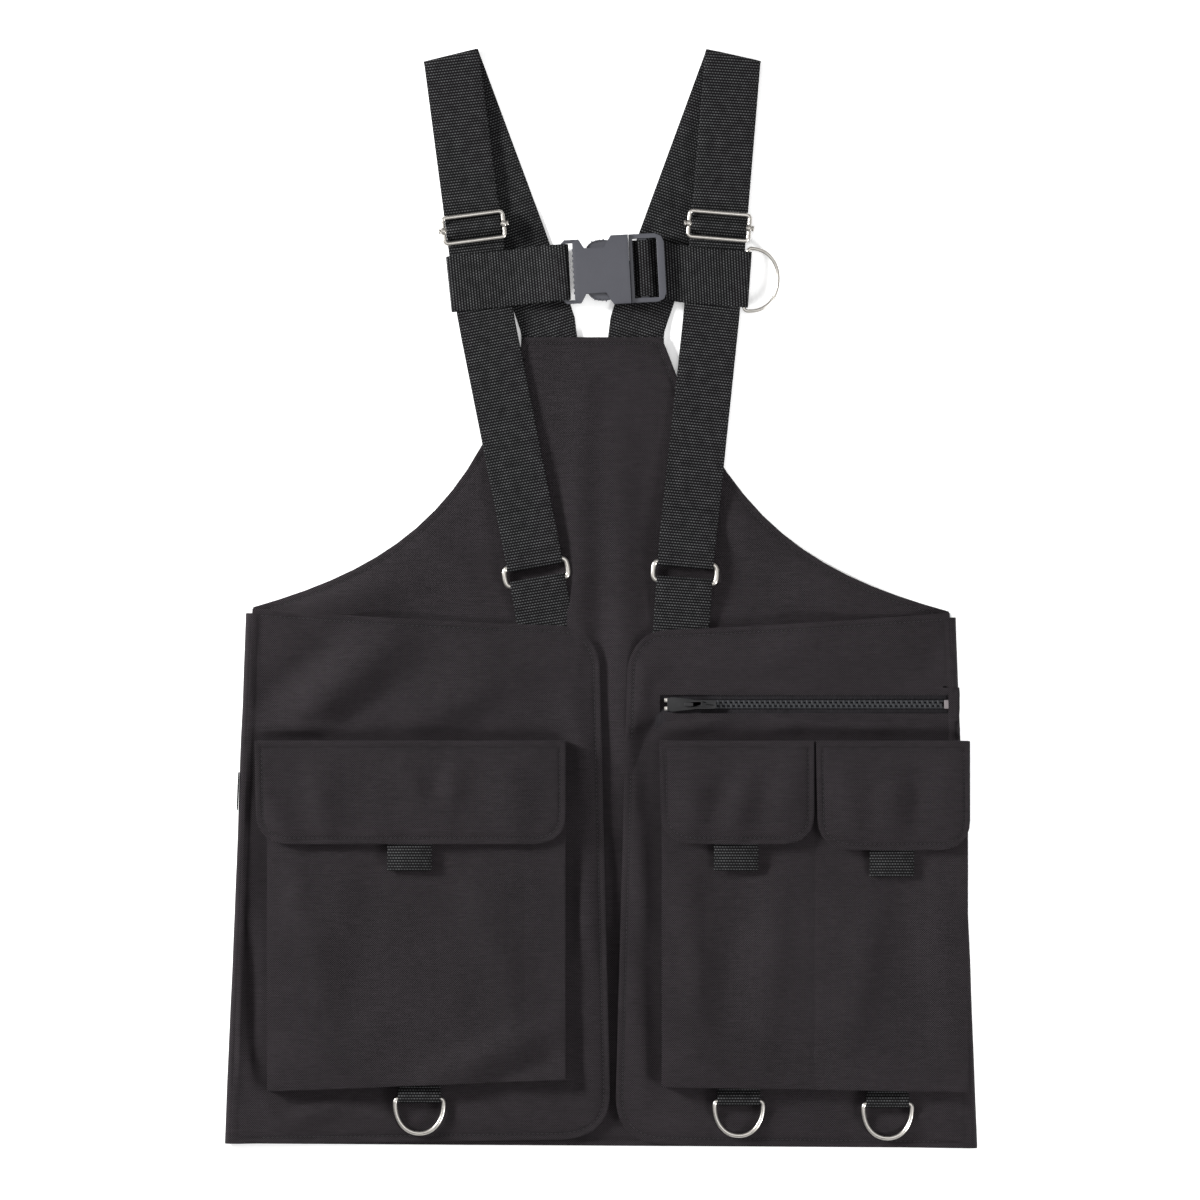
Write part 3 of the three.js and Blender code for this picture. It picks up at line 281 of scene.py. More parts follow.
def outline_of(shape):
    """The outer edge of the upper face, as points in order with the cloth on the left."""
    upper = top_faces(shape)
    members = set(upper)
    following = {}
    for face in upper:
        for loop in face.loops:
            if sum(other in members for other in loop.edge.link_faces) == 1:
                following[loop.vert] = loop.link_loop_next.vert
    outlines = []
    while following:
        here = next(iter(following))
        outline = []
        while here in following:
            outline.append(here.co.to_2d())
            here = following.pop(here)
        outlines.append(outline)
    return max(outlines, key=len)


def inside_line(outline, inset):
    """The outline moved inwards by the inset."""
    moved = []
    for i, here in enumerate(outline):
        before = (here - outline[i - 1]).normalized()
        after = (outline[(i + 1) % len(outline)] - here).normalized()
        inward = Vector((-before.y - after.y, before.x + after.x)) / (1 + before.dot(after))
        moved.append(here + inward * inset)
    return moved


def edge_distance(points, outline):
    """How far each point lies from the outline."""
    nearest = np.full(len(points), 1.0)
    for i, start in enumerate(outline):
        along = np.array(outline[(i + 1) % len(outline)] - start)
        offset = points - np.array(start)
        share = np.clip(offset @ along / max(along @ along, 1e-12), 0, 1)
        nearest = np.minimum(nearest, np.linalg.norm(offset - share[:, None] * along, axis=1))
    return nearest


def crumple(points, low, high, folds):
    """The rise of soft folds, each from one place to another in shares of the box, a width and a height."""
    corner = np.array(low[:2])
    size = np.array(high[:2]) - corner
    rise = np.zeros(len(points))
    for start, end, width, height in folds:
        first = corner + size * np.array(start)
        along = corner + size * np.array(end) - first
        offset = points - first
        share = np.clip(offset @ along / (along @ along), 0, 1)
        away = np.linalg.norm(offset - share[:, None] * along, axis=1)
        rise += height * np.exp(-((away / width) ** 2)) * (0.55 + 0.45 * np.sin(math.pi * share))
    return rise


def ripple(points, height, seed):
    """The small unevenness of cloth that lies loose."""
    broad = [noise.noise(Vector((x * 15, y * 11, seed))) for x, y in points]
    fine = [noise.noise(Vector((x * 48, y * 34, seed + 50))) for x, y in points]
    return height * (np.array(broad) + 0.28 * np.array(fine))


def clear_of(points, node, margin):
    """0 on a node's footprint and 1 beyond the margin round it."""
    low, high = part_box(node)
    beyond = np.maximum(np.array(low[:2]) - points, points - np.array(high[:2])).clip(0)
    share = np.clip(np.linalg.norm(beyond, axis=1) / margin, 0, 1)
    return share * share * (3 - 2 * share)


def settled_mesh(holder):
    """The mesh of an object as its modifiers or its curve settings make it."""
    bpy.context.view_layer.update()
    settled = holder.evaluated_get(bpy.context.evaluated_depsgraph_get())
    return bpy.data.meshes.new_from_object(settled)


def finished(name, shape, material, body, nodes, smooth_to=40, subdivide=0):
    """Turns a shape into a piece that rides on a body and stands for CAD nodes."""
    limit = math.radians(smooth_to)
    for face in shape.faces:
        face.smooth = True
    for edge in shape.edges:
        edge.smooth = not edge.is_manifold or edge.calc_face_angle() < limit
    mesh = bpy.data.meshes.new(name)
    shape.to_mesh(mesh)
    shape.free()
    piece = add_object(name, mesh, material)
    if subdivide:
        rounding = piece.modifiers.new("rounding", "SUBSURF")
        rounding.levels = subdivide
        rounding.render_levels = subdivide
        smooth = settled_mesh(piece)
        piece.modifiers.clear()
        piece.data = smooth
    if body:
        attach(piece, body)
    if nodes:
        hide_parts(*nodes)
    return piece


def plan(shape):
    return np.array([vert.co[:2] for vert in shape.verts])


def lay_cloth(name, node, body, rise, pitch=0.004, hem=hem_inset, extra=None):
    """A layer of cloth cut as its CAD node, with a hem groove, rounded edges and folds."""
    low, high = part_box(node)
    shape = shape_of(node)
    outline = outline_of(shape)
    middle = (low.z + high.z) / 2
    if hem:
        for step in (hem - groove_slice, groove_slice, groove_slice):
            upper = [face for face in shape.faces if face.normal.z > 0.9 and face.calc_area() > 1e-3]
            bmesh.ops.inset_region(
                shape, faces=upper, thickness=step, use_even_offset=True, use_boundary=True
            )
    round_edges(shape, cloth_edge)
    slice_across(shape, Vector((1, 0, 0)), np.arange(low.x + pitch / 2, high.x, pitch))
    slice_across(shape, Vector((0, 1, 0)), np.arange(low.y + pitch / 2, high.y, pitch))
    points = plan(shape)
    lift = rise(points)
    groove_and_painted_shade = np.exp(-(((edge_distance(points, outline) - hem) / groove_width) ** 2)) * bool(hem)
    for i, vert in enumerate(shape.verts):
        if vert.co.z > middle:
            vert.co.z -= groove_and_painted_shade[i] * groove_depth
        vert.co.z += lift[i]
    if extra:
        extra(shape)
    piece = finished(name, shape, woven, body, [node])
    # The groove profile also goes to the seam attribute, which darkens the cloth's colour there as painted
    # shade.
    seam = piece.data.attributes.new("seam", "FLOAT", "POINT")
    seam.data.foreach_set("value", groove_and_painted_shade.astype(np.float32))
    area = sum(face.area for face in frame["nodes"][node].data.polygons if face.normal.z > 0.9)
    return piece, outline, area


def thread_finish():
    made, shader, place = new_finish("sewing_thread", Roughness=0.75, Specular_IOR_Level=0.3)
    twist = (place.part(0) + place.part(1)).wave(twist_pitch)
    feed(shader, "Base Color", (twist * 0.5 + 0.5).between(thread_dark, thread_light))
    feed(shader, "Normal", twist.bump(0.00005))
    return made


thread = thread_finish()


def sew(name, line, surface, body, where=None, closed=False):
    """A row of stitches along a line, on the height that surface gives for a point."""
    shape = bmesh.new()
    spots = [*line, line[0]] if closed else line
    rest = thread_pitch / 2
    for start, end in zip(spots, spots[1:]):
        length = (end - start).length
        if length == 0:
            continue
        direction = (end - start) / length
        while rest < length:
            spot = start + direction * rest
            rest += thread_pitch
            if where and not where(spot):
                continue
            turn = Matrix.Rotation(math.atan2(direction.y, direction.x), 4, "Z")
            size = Matrix.Diagonal((thread_length / 2, thread_width / 2, thread_width * 0.42, 1))
            place = Matrix.Translation((spot.x, spot.y, surface(spot))) @ turn @ size
            bmesh.ops.create_uvsphere(shape, u_segments=6, v_segments=4, radius=1, matrix=place)
        rest -= length
    finished(name, shape, thread, body, [])


def surface_of(piece):
    """The height of a finished piece's upper side at a point."""
    corners = [vert.co for vert in piece.data.vertices]
    tree = BVHTree.FromPolygons(corners, [list(face.vertices) for face in piece.data.polygons])

    def height(spot):
        hit = tree.ray_cast(Vector((spot.x, spot.y, 0.1)), Vector((0, 0, -1)))[0]
        return (hit.z if hit else 0) + thread_width * 0.1

    return height


back_low, back_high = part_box("back_lining")
neck_y = back_high.y
back_folds = [
    ((0.465, 0.45), (0.475, 0.93), 0.010, 0.0042),
    ((0.535, 0.40), (0.525, 0.88), 0.012, 0.0044),
    ((0.50, 0.30), (0.50, 0.70), 0.008, -0.0016),
    ((0.08, 0.655), (0.24, 0.70), 0.013, 0.0058),
    ((0.78, 0.70), (0.93, 0.665), 0.013, 0.0056),
    ((0.25, 0.75), (0.33, 0.70), 0.011, 0.0036),
    ((0.66, 0.78), (0.74, 0.72), 0.012, 0.0034),
]
back_outline = outline_of(shape_of("back_lining"))
back_lift = 0.0003
back_ripple = 0.0012
seam_height = 0.0019
seam_reach = 0.012
seam_pinch = 0.55
neck_open = 0.035
neck_fade = 0.03


def shell_rise(points):
    return crumple(points, back_low, back_high, back_folds).clip(0)


def lining_rise(points):
    folds = crumple(points, back_low, back_high, back_folds)
    return folds + back_lift + ripple(points, back_ripple, 1.0)


def seam_pull(points):
    """How far the seam draws the layers together. The neck stays open, where the braces lie between."""
    near = np.clip(1 - edge_distance(points, back_outline) / seam_reach, 0, 1) ** 2
    free = np.clip((neck_y - neck_open - points[:, 1]) / neck_fade, 0, 1)
    return seam_pinch * near * free


def close_seam(shape):
    for vert, pull in zip(shape.verts, seam_pull(plan(shape))):
        vert.co.z += (seam_height - vert.co.z) * pull


back_lining, _, back_area = lay_cloth(
    "back_lining_cloth", "back_lining", "vest_back", lining_rise, extra=close_seam
)
back_shell, _, _ = lay_cloth(
    "back_shell_cloth", "back_shell", "vest_back", shell_rise, hem=0, extra=close_seam
)


def on_lining(spot):
    here = np.array([spot[:]])
    height = back_high.z + lining_rise(here)[0] - stitch_depth
    return height + (seam_height - height) * seam_pull(here)[0]


front_top_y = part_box("left_front_panel")[1].y
sew("back_topstitch", inside_line(back_outline, hem_inset), on_lining, "vest_back",
    where=lambda spot: spot.y > front_top_y - 0.02, closed=True)


# ---- Side folds and side loops ----
# A strip of the same cloth carries the back round to the front on each side. A short loop of webbing is
# caught in the side seam just below the armhole.

strip_slice = 0.008
strip_waver = 0.0007


def side_fold(side):
    node = f"{side}_side_fold"
    low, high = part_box(node)
    shape = shape_of(node)
    slice_across(shape, Vector((0, 1, 0)), np.arange(low.y + strip_slice / 2, high.y, strip_slice))
    waver = ripple(plan(shape), strip_waver, 4.0 if side == "left" else 7.0)
    for vert, shift in zip(shape.verts, waver):
        bulge = math.sin(math.pi * min(max((vert.co.z - low.z) / (high.z - low.z), 0), 1))
        vert.co.x += shift * bulge
    piece = finished(f"{side}_side_fold_cloth", shape, woven, None, [node])
    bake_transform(piece)


side_fold("left")
side_fold("right")

rib_pitch = 0.0019
float_pitch = 0.0019
webbing_dark = (0.0024, 0.0023, 0.0026, 1)
# The lighter webbing colour is painted highlight on the floats.
webbing_highlight = (0.105, 0.107, 0.109, 1)


def webbing_finish(name, dark, light, rib, thread_run):
    """Ribs across the webbing, each a row of warp floats set half a step from the next row's, their tops
    painted lighter as highlights.
    """
    made, shader, place = new_finish(name, "UV", Roughness=0.7, Specular_IOR_Level=0.08)
    along = place.part(0)
    across = place.part(1)
    row = along.maths("FLOOR", along * (1 / rib))
    odd = along.maths("PINGPONG", row, 1.0)
    ridge = along.maths("COSINE", along * (2 * math.pi / rib)) * -0.5 + 0.5
    floats = (across + odd * (thread_run / 2)).wave(thread_run) * 0.5 + 0.5
    speck_blotches = place.blotches(160.0, 3.0)
    speck = ridge * (floats * 0.7 + 0.3)
    # Painted highlights: the floats on each rib's top are coloured lighter, unevenly from speck to speck.
    painted_float_highlights = speck * ridge * speck * (speck_blotches * 1.7 - 0.12)
    feed(shader, "Base Color", painted_float_highlights.between(dark, light))
    feed(shader, "Roughness", 0.86 - speck * 0.3)
    feed(shader, "Normal", (ridge * 0.7 + floats * 0.5 + speck_blotches * 0.3).bump(0.00035, 0.9))
    return made


webbing = webbing_finish("ribbed_webbing", webbing_dark, webbing_highlight, rib_pitch, float_pitch)


def thread_map(mesh, direction, degree=0, above=None):
    """UVs in metres: u along the webbing's own line and v across it.

    A strap that doubles back over itself is two legs, one above the given height and one below it."""
    run_way = np.array(direction[:2]) / np.linalg.norm(direction[:2])
    side_way = np.array((run_way[1], -run_way[0]))
    places = np.array([vert.co for vert in mesh.vertices])
    run = places[:, :2] @ run_way
    side = places[:, :2] @ side_way
    along = np.zeros(len(places))
    across = np.zeros(len(places))
    upper = places[:, 2] > above if above is not None else np.ones(len(places), bool)
    top_run = run.max()
    for leg in (upper, ~upper):
        if not leg.any():
            continue
        line = np.polynomial.Polynomial.fit(run[leg], side[leg], degree)
        slope = line.deriv()(run[leg])
        stretch = np.sqrt(1 + slope**2)
        off = (side[leg] - line(run[leg])) / stretch
        foot = run[leg] + off * slope / stretch
        samples = np.linspace(foot.min() - 1e-3, top_run + 0.01, 400)
        steps = np.sqrt(1 + line.deriv()(samples) ** 2)
        lengths = np.concatenate([[0], np.cumsum((steps[1:] + steps[:-1]) / 2 * np.diff(samples))])
        along[leg] = np.interp(foot, samples, lengths) - lengths[-1]
        across[leg] = off
    layer = mesh.uv_layers.new(name="threads")
    for loop in mesh.loops:
        layer.data[loop.index].uv = (along[loop.vertex_index], across[loop.vertex_index])


def weave_strap(name, node, body, direction, degree=0, above=None, subdivide=1, every=None, rise=None,
                material=None, edge=0.00035):
    """Webbing along its CAD node: rounded selvedges, smooth bends and a thread map."""
    low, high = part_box(node)
    shape = shape_of(node)
    if every:
        run = Vector((direction[0], direction[1], 0)).normalized()
        reach = [run.dot(vert.co) for vert in shape.verts]
        slice_across(shape, run, np.arange(min(reach) + every / 2, max(reach), every))
    round_edges(shape, edge, 1, 60)
    if rise:
        for vert, lift in zip(shape.verts, rise(plan(shape))):
            vert.co.z += lift
    piece = finished(
        name, shape, material or webbing, body, [node], smooth_to=70, subdivide=subdivide
    )
    thread_map(piece.data, direction, degree, above)
    return piece


for side in ("left", "right"):
    weave_strap(f"{side}_side_loop_webbing", f"{side}_side_loop", "vest_back", (0, 1), edge=0.0002)


# ---- Fronts ----
# Each front is one piece of the same cloth, hemmed at the top, the centre edge and the bottom with one
# row of topstitching. The centre edge has rounded corners. The folds are those of cloth laid down loose.

left_folds = [
    ((0.015, 0.97), (0.05, 0.80), 0.008, 0.0034),
    ((0.07, 0.82), (0.30, 0.965), 0.009, -0.0030),
    ((0.13, 0.765), (0.42, 0.945), 0.016, 0.0085),
    ((0.24, 0.775), (0.50, 0.885), 0.010, -0.0030),
    ((0.50, 0.83), (0.80, 0.90), 0.018, 0.0050),
    ((0.46, 0.775), (0.66, 0.835), 0.009, 0.0046),
    ((0.08, 0.772), (0.40, 0.772), 0.0035, 0.0040),
    ((0.55, 0.770), (0.86, 0.772), 0.0035, 0.0036),
    ((0.895, 0.84), (0.945, 0.62), 0.008, 0.0044),
    ((0.93, 0.58), (0.945, 0.34), 0.007, 0.0040),
    ((0.93, 0.30), (0.950, 0.08), 0.007, 0.0036),
    ((0.022, 0.72), (0.024, 0.45), 0.005, 0.0036),
    ((0.020, 0.40), (0.026, 0.12), 0.005, 0.0034),
    ((0.055, 0.45), (0.07, 0.05), 0.005, -0.0022),
    ((0.03, 0.17), (0.11, 0.05), 0.006, 0.0042),
    ((0.15, 0.04), (0.28, 0.07), 0.006, 0.0038),
    ((0.34, 0.055), (0.46, 0.03), 0.005, 0.0030),
    ((0.62, 0.06), (0.84, 0.035), 0.007, 0.0036),
]
right_folds = [
    ((0.02, 0.72), (0.11, 0.80), 0.007, -0.0030),
    ((0.035, 0.66), (0.075, 0.42), 0.008, 0.0044),
    ((0.04, 0.38), (0.08, 0.10), 0.008, 0.0040),
    ((0.05, 0.76), (0.12, 0.95), 0.010, 0.0042),
    ((0.14, 0.96), (0.30, 0.88), 0.012, 0.0030),
    ((0.40, 0.90), (0.58, 0.97), 0.016, 0.0048),
    ((0.60, 0.90), (0.85, 0.95), 0.016, 0.0042),
    ((0.88, 0.90), (0.93, 0.98), 0.010, -0.0020),
    ((0.13, 0.775), (0.30, 0.800), 0.0045, 0.0052),
    ((0.28, 0.772), (0.50, 0.782), 0.0035, 0.0040),
    ((0.45, 0.800), (0.74, 0.782), 0.0055, 0.0056),
    ((0.70, 0.795), (0.96, 0.778), 0.0045, 0.0046),
    ((0.50, 0.766), (0.72, 0.768), 0.0030, -0.0016),
    ((0.12, 0.05), (0.34, 0.03), 0.008, 0.0034),
    ((0.42, 0.05), (0.62, 0.04), 0.007, 0.0030),
    ((0.72, 0.04), (0.92, 0.07), 0.007, 0.0034),
]


front_ripple = 0.0022
held_margin = 0.011
sewn_on = {
    "left": ["left_hem_loop"],
    "right": ["inner_hem_loop", "outer_hem_loop", "upper_zip_tape"],
}


def front_rise(side, folds, seed):
    """The rise of a front's folds, which fade out under what is sewn to it."""
    low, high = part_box(f"{side}_front_panel")
    held = [f"{side}_pocket", f"{side}_flap_riser", f"{side}_front_tab", *sewn_on[side]]

    def rise(points):
        free = np.ones(len(points))
        for node in held:
            free = np.minimum(free, clear_of(points, node, held_margin))
        return free * (crumple(points, low, high, folds) + ripple(points, front_ripple, seed))

    return rise


def meet_side_fold(side):
    """The panel's side edge reaches the folded strip, so that the two read as one cloth."""
    outward = -1 if side == "left" else 1

    def reach(shape):
        outline = outline_of(shape_of(f"{side}_front_panel"))
        limit = max(outward * place.x for place in outline)
        for vert in shape.verts:
            if outward * vert.co.x > limit - 0.016 and vert.normal.x * outward > 0.5:
                vert.co.x += outward * cloth_edge

    return reach


for side, folds, seed in (("left", left_folds, 11.0), ("right", right_folds, 17.0)):
    node = f"{side}_front_panel"
    low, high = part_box(node)
    rise = front_rise(side, folds, seed)
    panel, outline, area = lay_cloth(
        f"{side}_front_cloth", node, f"{side}_front", rise, extra=meet_side_fold(side)
    )
    outer = max(abs(place.x) for place in outline)

    def on_front(spot):
        return high.z + rise(np.array([spot[:]]))[0] - stitch_depth

    sew(f"{side}_front_topstitch", inside_line(outline, hem_inset), on_front, f"{side}_front",
        where=lambda spot: abs(spot.x) < outer - 0.02, closed=True)


# ---- Bellows pockets ----
# A pocket front on side and bottom gussets that stand it off the vest. Its front has a pressed crease in
# from each side, the gussets fold inwards, and the right pocket is sewn down the middle into two bays.

pocket_edge = 0.0009
pocket_slice = 0.004
pocket_ripple = 0.0024
pocket_sag = 0.0016
crease_inset = 0.028
crease_width = 0.0010
crease_depth = 0.00028
bay_width = 0.0014
bay_depth = 0.0007
gusset_tuck = 0.0022
flap_cover = 0.055


def pocket(side, folds, seed, dividers=()):
    node = f"{side}_pocket"
    low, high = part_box(node)
    creases = [low.x + crease_inset, high.x - crease_inset]
    shape = shape_of(node)
    round_edges(shape, pocket_edge, 3, 60)
    lines = [crease + shift for crease in creases for shift in (-0.0012, 0, 0.0012)]
    lines += [divider + shift for divider in dividers for shift in (-0.0015, 0, 0.0015)]
    slice_across(shape, Vector((1, 0, 0)), [*np.arange(low.x + 0.003, high.x, pocket_slice), *lines])
    slice_across(shape, Vector((0, 1, 0)), np.arange(low.y + 0.003, high.y, pocket_slice))
    slice_across(shape, Vector((0, 0, 1)), np.linspace(low.z + 0.001, high.z - 0.001, 5))
    points = plan(shape)
    across = (points[:, 0] - low.x) / (high.x - low.x)
    upward = (points[:, 1] - low.y) / (high.y - low.y)
    rise = crumple(points, low, high, folds) + ripple(points, pocket_ripple, seed)
    rise -= pocket_sag * np.sin(math.pi * across) * np.sin(math.pi * np.clip(upward, 0, 1) ** 0.8)
    for crease in creases:
        rise -= crease_depth * np.exp(-(((points[:, 0] - crease) / crease_width) ** 2))
    for divider in dividers:
        rise -= bay_depth * np.exp(-(((points[:, 0] - divider) / bay_width) ** 2))
    below_flap = np.clip((high.y - flap_cover - points[:, 1]) / 0.02, 0, 1)
    for vert, lift, free in zip(shape.verts, rise, below_flap):
        stand = min(max((vert.co.z - low.z) / (high.z - low.z), 0), 1)
        tuck = gusset_tuck * math.sin(math.pi * stand)
        vert.co.z += (lift * free + min(lift, 0) * (1 - free)) * stand
        if vert.co.x < low.x + 0.0012:
            vert.co.x += tuck
        if vert.co.x > high.x - 0.0012:
            vert.co.x -= tuck
        if vert.co.y < low.y + 0.009 and abs(vert.normal.y) > 0.5:
            vert.co.y += tuck * 0.7
    piece = finished(f"{side}_pocket_cloth", shape, woven, f"{side}_front", [node])


left_pocket_folds = [
    ((0.06, 0.12), (0.32, 0.02), 0.008, 0.0040),
    ((0.56, 0.04), (0.95, 0.19), 0.010, 0.0062),
    ((0.70, 0.015), (0.97, 0.10), 0.006, -0.0030),
    ((0.12, 0.52), (0.62, 0.34), 0.024, 0.0052),
    ((0.70, 0.62), (0.84, 0.20), 0.014, 0.0046),
    ((0.36, 0.64), (0.30, 0.25), 0.014, -0.0030),
    ((0.10, 0.64), (0.18, 0.30), 0.011, 0.0034),
    ((0.44, 0.60), (0.66, 0.48), 0.009, 0.0026),
]
right_pocket_folds = [
    ((0.08, 0.62), (0.13, 0.15), 0.011, 0.0042),
    ((0.38, 0.62), (0.34, 0.10), 0.012, 0.0048),
    ((0.25, 0.55), (0.20, 0.20), 0.012, -0.0030),
    ((0.70, 0.58), (0.60, 0.12), 0.013, 0.0050),
    ((0.90, 0.60), (0.95, 0.10), 0.011, 0.0048),
    ((0.80, 0.52), (0.84, 0.15), 0.012, -0.0032),
    ((0.05, 0.10), (0.30, 0.03), 0.008, 0.0034),
    ((0.58, 0.05), (0.92, 0.09), 0.008, 0.0038),
]
pocket("left", left_pocket_folds, 23.0)
right_low, right_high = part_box("right_pocket")
bay_seam_x = (right_low.x + right_high.x) / 2
pocket("right", right_pocket_folds, 29.0, dividers=[bay_seam_x])
bay_seam = [Vector((bay_seam_x, right_low.y + 0.004)), Vector((bay_seam_x, right_high.y - 0.06))]
bay_seam_z = right_high.z - 0.0021
sew("bay_seam_stitches", bay_seam, lambda spot: bay_seam_z, "right_front")


# ---- Flaps, their patches and pull tabs ----
# Each flap hangs from a riser sewn to the front, closes the pocket with a hook patch on a loop patch and
# has a folded webbing tab to pull it by. A row of topstitching follows its sides and rounded lower edge.

patch_pitch = 0.0012
patch_edge = 0.0002
patch_dark = (0.004, 0.004, 0.004, 1)
patch_light = (0.022, 0.022, 0.023, 1)
flap_slice = 0.003
flap_ripple = 0.0018
flap_lift = 0.0008
flap_top = 0.004
flap_drop = 0.03


def patch_finish(name, tall):
    made, shader, place = new_finish(name, Roughness=0.95, Specular_IOR_Level=0.15)
    x = place.part(0)
    y = place.part(1)
    tufts = x.wave(patch_pitch) * y.wave(patch_pitch) + place.blotches(1500.0, 3.0) * tall
    feed(shader, "Base Color", (tufts * 0.5 + 0.3).between(patch_dark, patch_light))
    feed(shader, "Normal", tufts.bump(0.0004))
    return made


hook_patch = patch_finish("hook_patch", 0.4)
loop_patch = patch_finish("loop_patch", 1.6)


def flap(side, front, folds, seed):
    node = f"{side}_flap"
    body = f"{side}_flap_body"
    low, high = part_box(node)

    def rise(points):
        hanging = np.clip((high.y - flap_top - points[:, 1]) / flap_drop, 0, 1)
        loose = crumple(points, low, high, folds) + ripple(points, flap_ripple, seed)
        return hanging * (loose + flap_lift)

    def on_flap(spot):
        return high.z + rise(np.array([spot[:]]))[0] - stitch_depth

    cloth, outline, area = lay_cloth(f"{side}_flap_cloth", node, None, rise, pitch=flap_slice)
    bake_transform(cloth)
    sew(f"{side}_flap_topstitch", inside_line(outline, hem_inset), on_flap, body,
        where=lambda spot: spot.y < high.y - 2 * flap_top, closed=True)
    for patch, finish, holder in (
        (f"{side}_hook_patch", hook_patch, body),
        (f"{side}_loop_patch", loop_patch, front),
    ):
        shape = shape_of(patch)
        round_edges(shape, patch_edge)
        finished(f"{patch}_tufts", shape, finish, holder, [patch])
    weave_strap(f"{side}_pull_tab_webbing", f"{side}_pull_tab", body, (0, 1), every=0.004, subdivide=0,
                edge=0.0005, rise=lambda points: rise(points) - 0.0004)


flap("left", "left_front", [
    ((0.20, 0.92), (0.22, 0.10), 0.011, 0.0040),
    ((0.34, 0.97), (0.35, 0.50), 0.007, -0.0012),
    ((0.45, 0.99), (0.54, 0.42), 0.010, 0.0052),
    ((0.60, 0.97), (0.56, 0.55), 0.007, -0.0014),
    ((0.67, 0.99), (0.62, 0.35), 0.008, 0.0040),
    ((0.80, 0.92), (0.84, 0.05), 0.012, 0.0040),
    ((0.02, 0.60), (0.12, 0.04), 0.009, 0.0030),
    ((0.30, 0.03), (0.42, 0.10), 0.006, 0.0020),
], 31.0)
flap("inner", "right_front", [
    ((0.25, 0.92), (0.20, 0.05), 0.012, 0.0040),
    ((0.60, 0.80), (0.47, 0.08), 0.010, 0.0054),
    ((0.40, 0.62), (0.34, 0.20), 0.006, -0.0014),
    ((0.86, 0.92), (0.80, 0.15), 0.011, 0.0040),
], 37.0)
flap("outer", "right_front", [
    ((0.18, 0.88), (0.26, 0.08), 0.011, 0.0040),
    ((0.54, 0.97), (0.45, 0.12), 0.011, 0.0050),
    ((0.66, 0.72), (0.62, 0.20), 0.006, -0.0014),
    ((0.82, 0.88), (0.84, 0.05), 0.012, 0.0044),
], 41.0)

riser_edge = 0.00025
riser_slice = 0.006
for side in ("left", "right"):
    node = f"{side}_flap_riser"
    low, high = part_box(node)
    shape = shape_of(node)
    round_edges(shape, riser_edge)
    slice_across(shape, Vector((1, 0, 0)), np.arange(low.x + riser_slice / 2, high.x, riser_slice))
    riser = finished(f"{node}_cloth", shape, woven, f"{side}_front", [node])


# ---- Braces, front tabs and hem loops ----
# One width of ribbed polyester webbing. Each brace comes from between the back's layers, folds over at
# the shoulder and runs down the front to a loop round an oval ring, which a short tab sews to the front.

joints = {joint["name"]: joint for joint in frame["joints"]}
bend_slice = 0.006
foot_length = 0.05


def joint_axis(name):
    return Vector(joints[name]["axis"])


def joint_place(name):
    return Vector(joints[name]["pos_m"])


def copy_of(piece, name, node):
    made = add_object(name, piece.data.copy(), webbing)
    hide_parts(node)
    return made


def keep_side(piece, place, direction):
    """Cuts a piece across and keeps the part that lies in the direction."""
    shape = bmesh.new()
    shape.from_mesh(piece.data)
    everything = [*shape.verts, *shape.edges, *shape.faces]
    cut = bmesh.ops.bisect_plane(
        shape, geom=everything, plane_co=place, plane_no=direction, clear_inner=True
    )
    rim = [edge for edge in cut["geom_cut"] if isinstance(edge, bmesh.types.BMEdge)]
    bmesh.ops.holes_fill(shape, edges=rim)
    shape.to_mesh(piece.data)
    shape.free()


for side in ("left", "right"):
    front_way = joint_axis(f"{side}_slider_slide")
    front = f"{side}_front"
    node = f"{side}_shoulder_strap"
    low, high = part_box(node)
    middle = (low.z + high.z) / 2
    weave_strap(f"{node}_webbing", node, "vest_back", front_way, degree=1, above=middle, every=bend_slice)
    tilt_axis = joint_axis(f"{side}_oval_ring_tilt")
    tab_way = Vector((-tilt_axis.y, tilt_axis.x, 0))
    weave_strap(f"{front}_tab_webbing", f"{front}_tab", front, tab_way, every=bend_slice)
    # The lower strap's foot bends into the ring, and the rest bends from the front to the back.
    node = f"{side}_lower_strap"
    strap = weave_strap(f"{node}_webbing", node, None, front_way, degree=3, every=bend_slice)
    ring = joint_place(f"{side}_oval_ring_tilt")
    cut = ring + tab_way * foot_length
    foot = copy_of(strap, f"{node}_foot", node)
    keep_side(foot, cut, -tab_way)
    keep_side(strap, cut, tab_way)
    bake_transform(foot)
    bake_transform(strap)

for side in ("left", "inner", "outer"):
    front = "left_front" if side == "left" else "right_front"
    weave_strap(f"{side}_hem_loop_webbing", f"{side}_hem_loop", front, (0, 1), every=bend_slice)


# ---- Rings ----
# Nickel-plated steel wire, bent into D rings at the hem and the chest strap and into flattened ovals at
# the fronts. The wire is round, and its two ends meet under the webbing.


def nickel_finish():
    made, shader, place = new_finish("nickel_plate", Metallic=1.0)
    haze = place.blotches(700.0, 3.0)
    film = place.blotches(90.0, 2.0)
    feed(shader, "Base Color", film.between((0.36, 0.34, 0.31, 1), (0.56, 0.54, 0.51, 1)))
    feed(shader, "Roughness", 0.2 + haze * 0.2)
    feed(shader, "Normal", haze.bump(0.00003, 0.5))
    return made


nickel = nickel_finish()


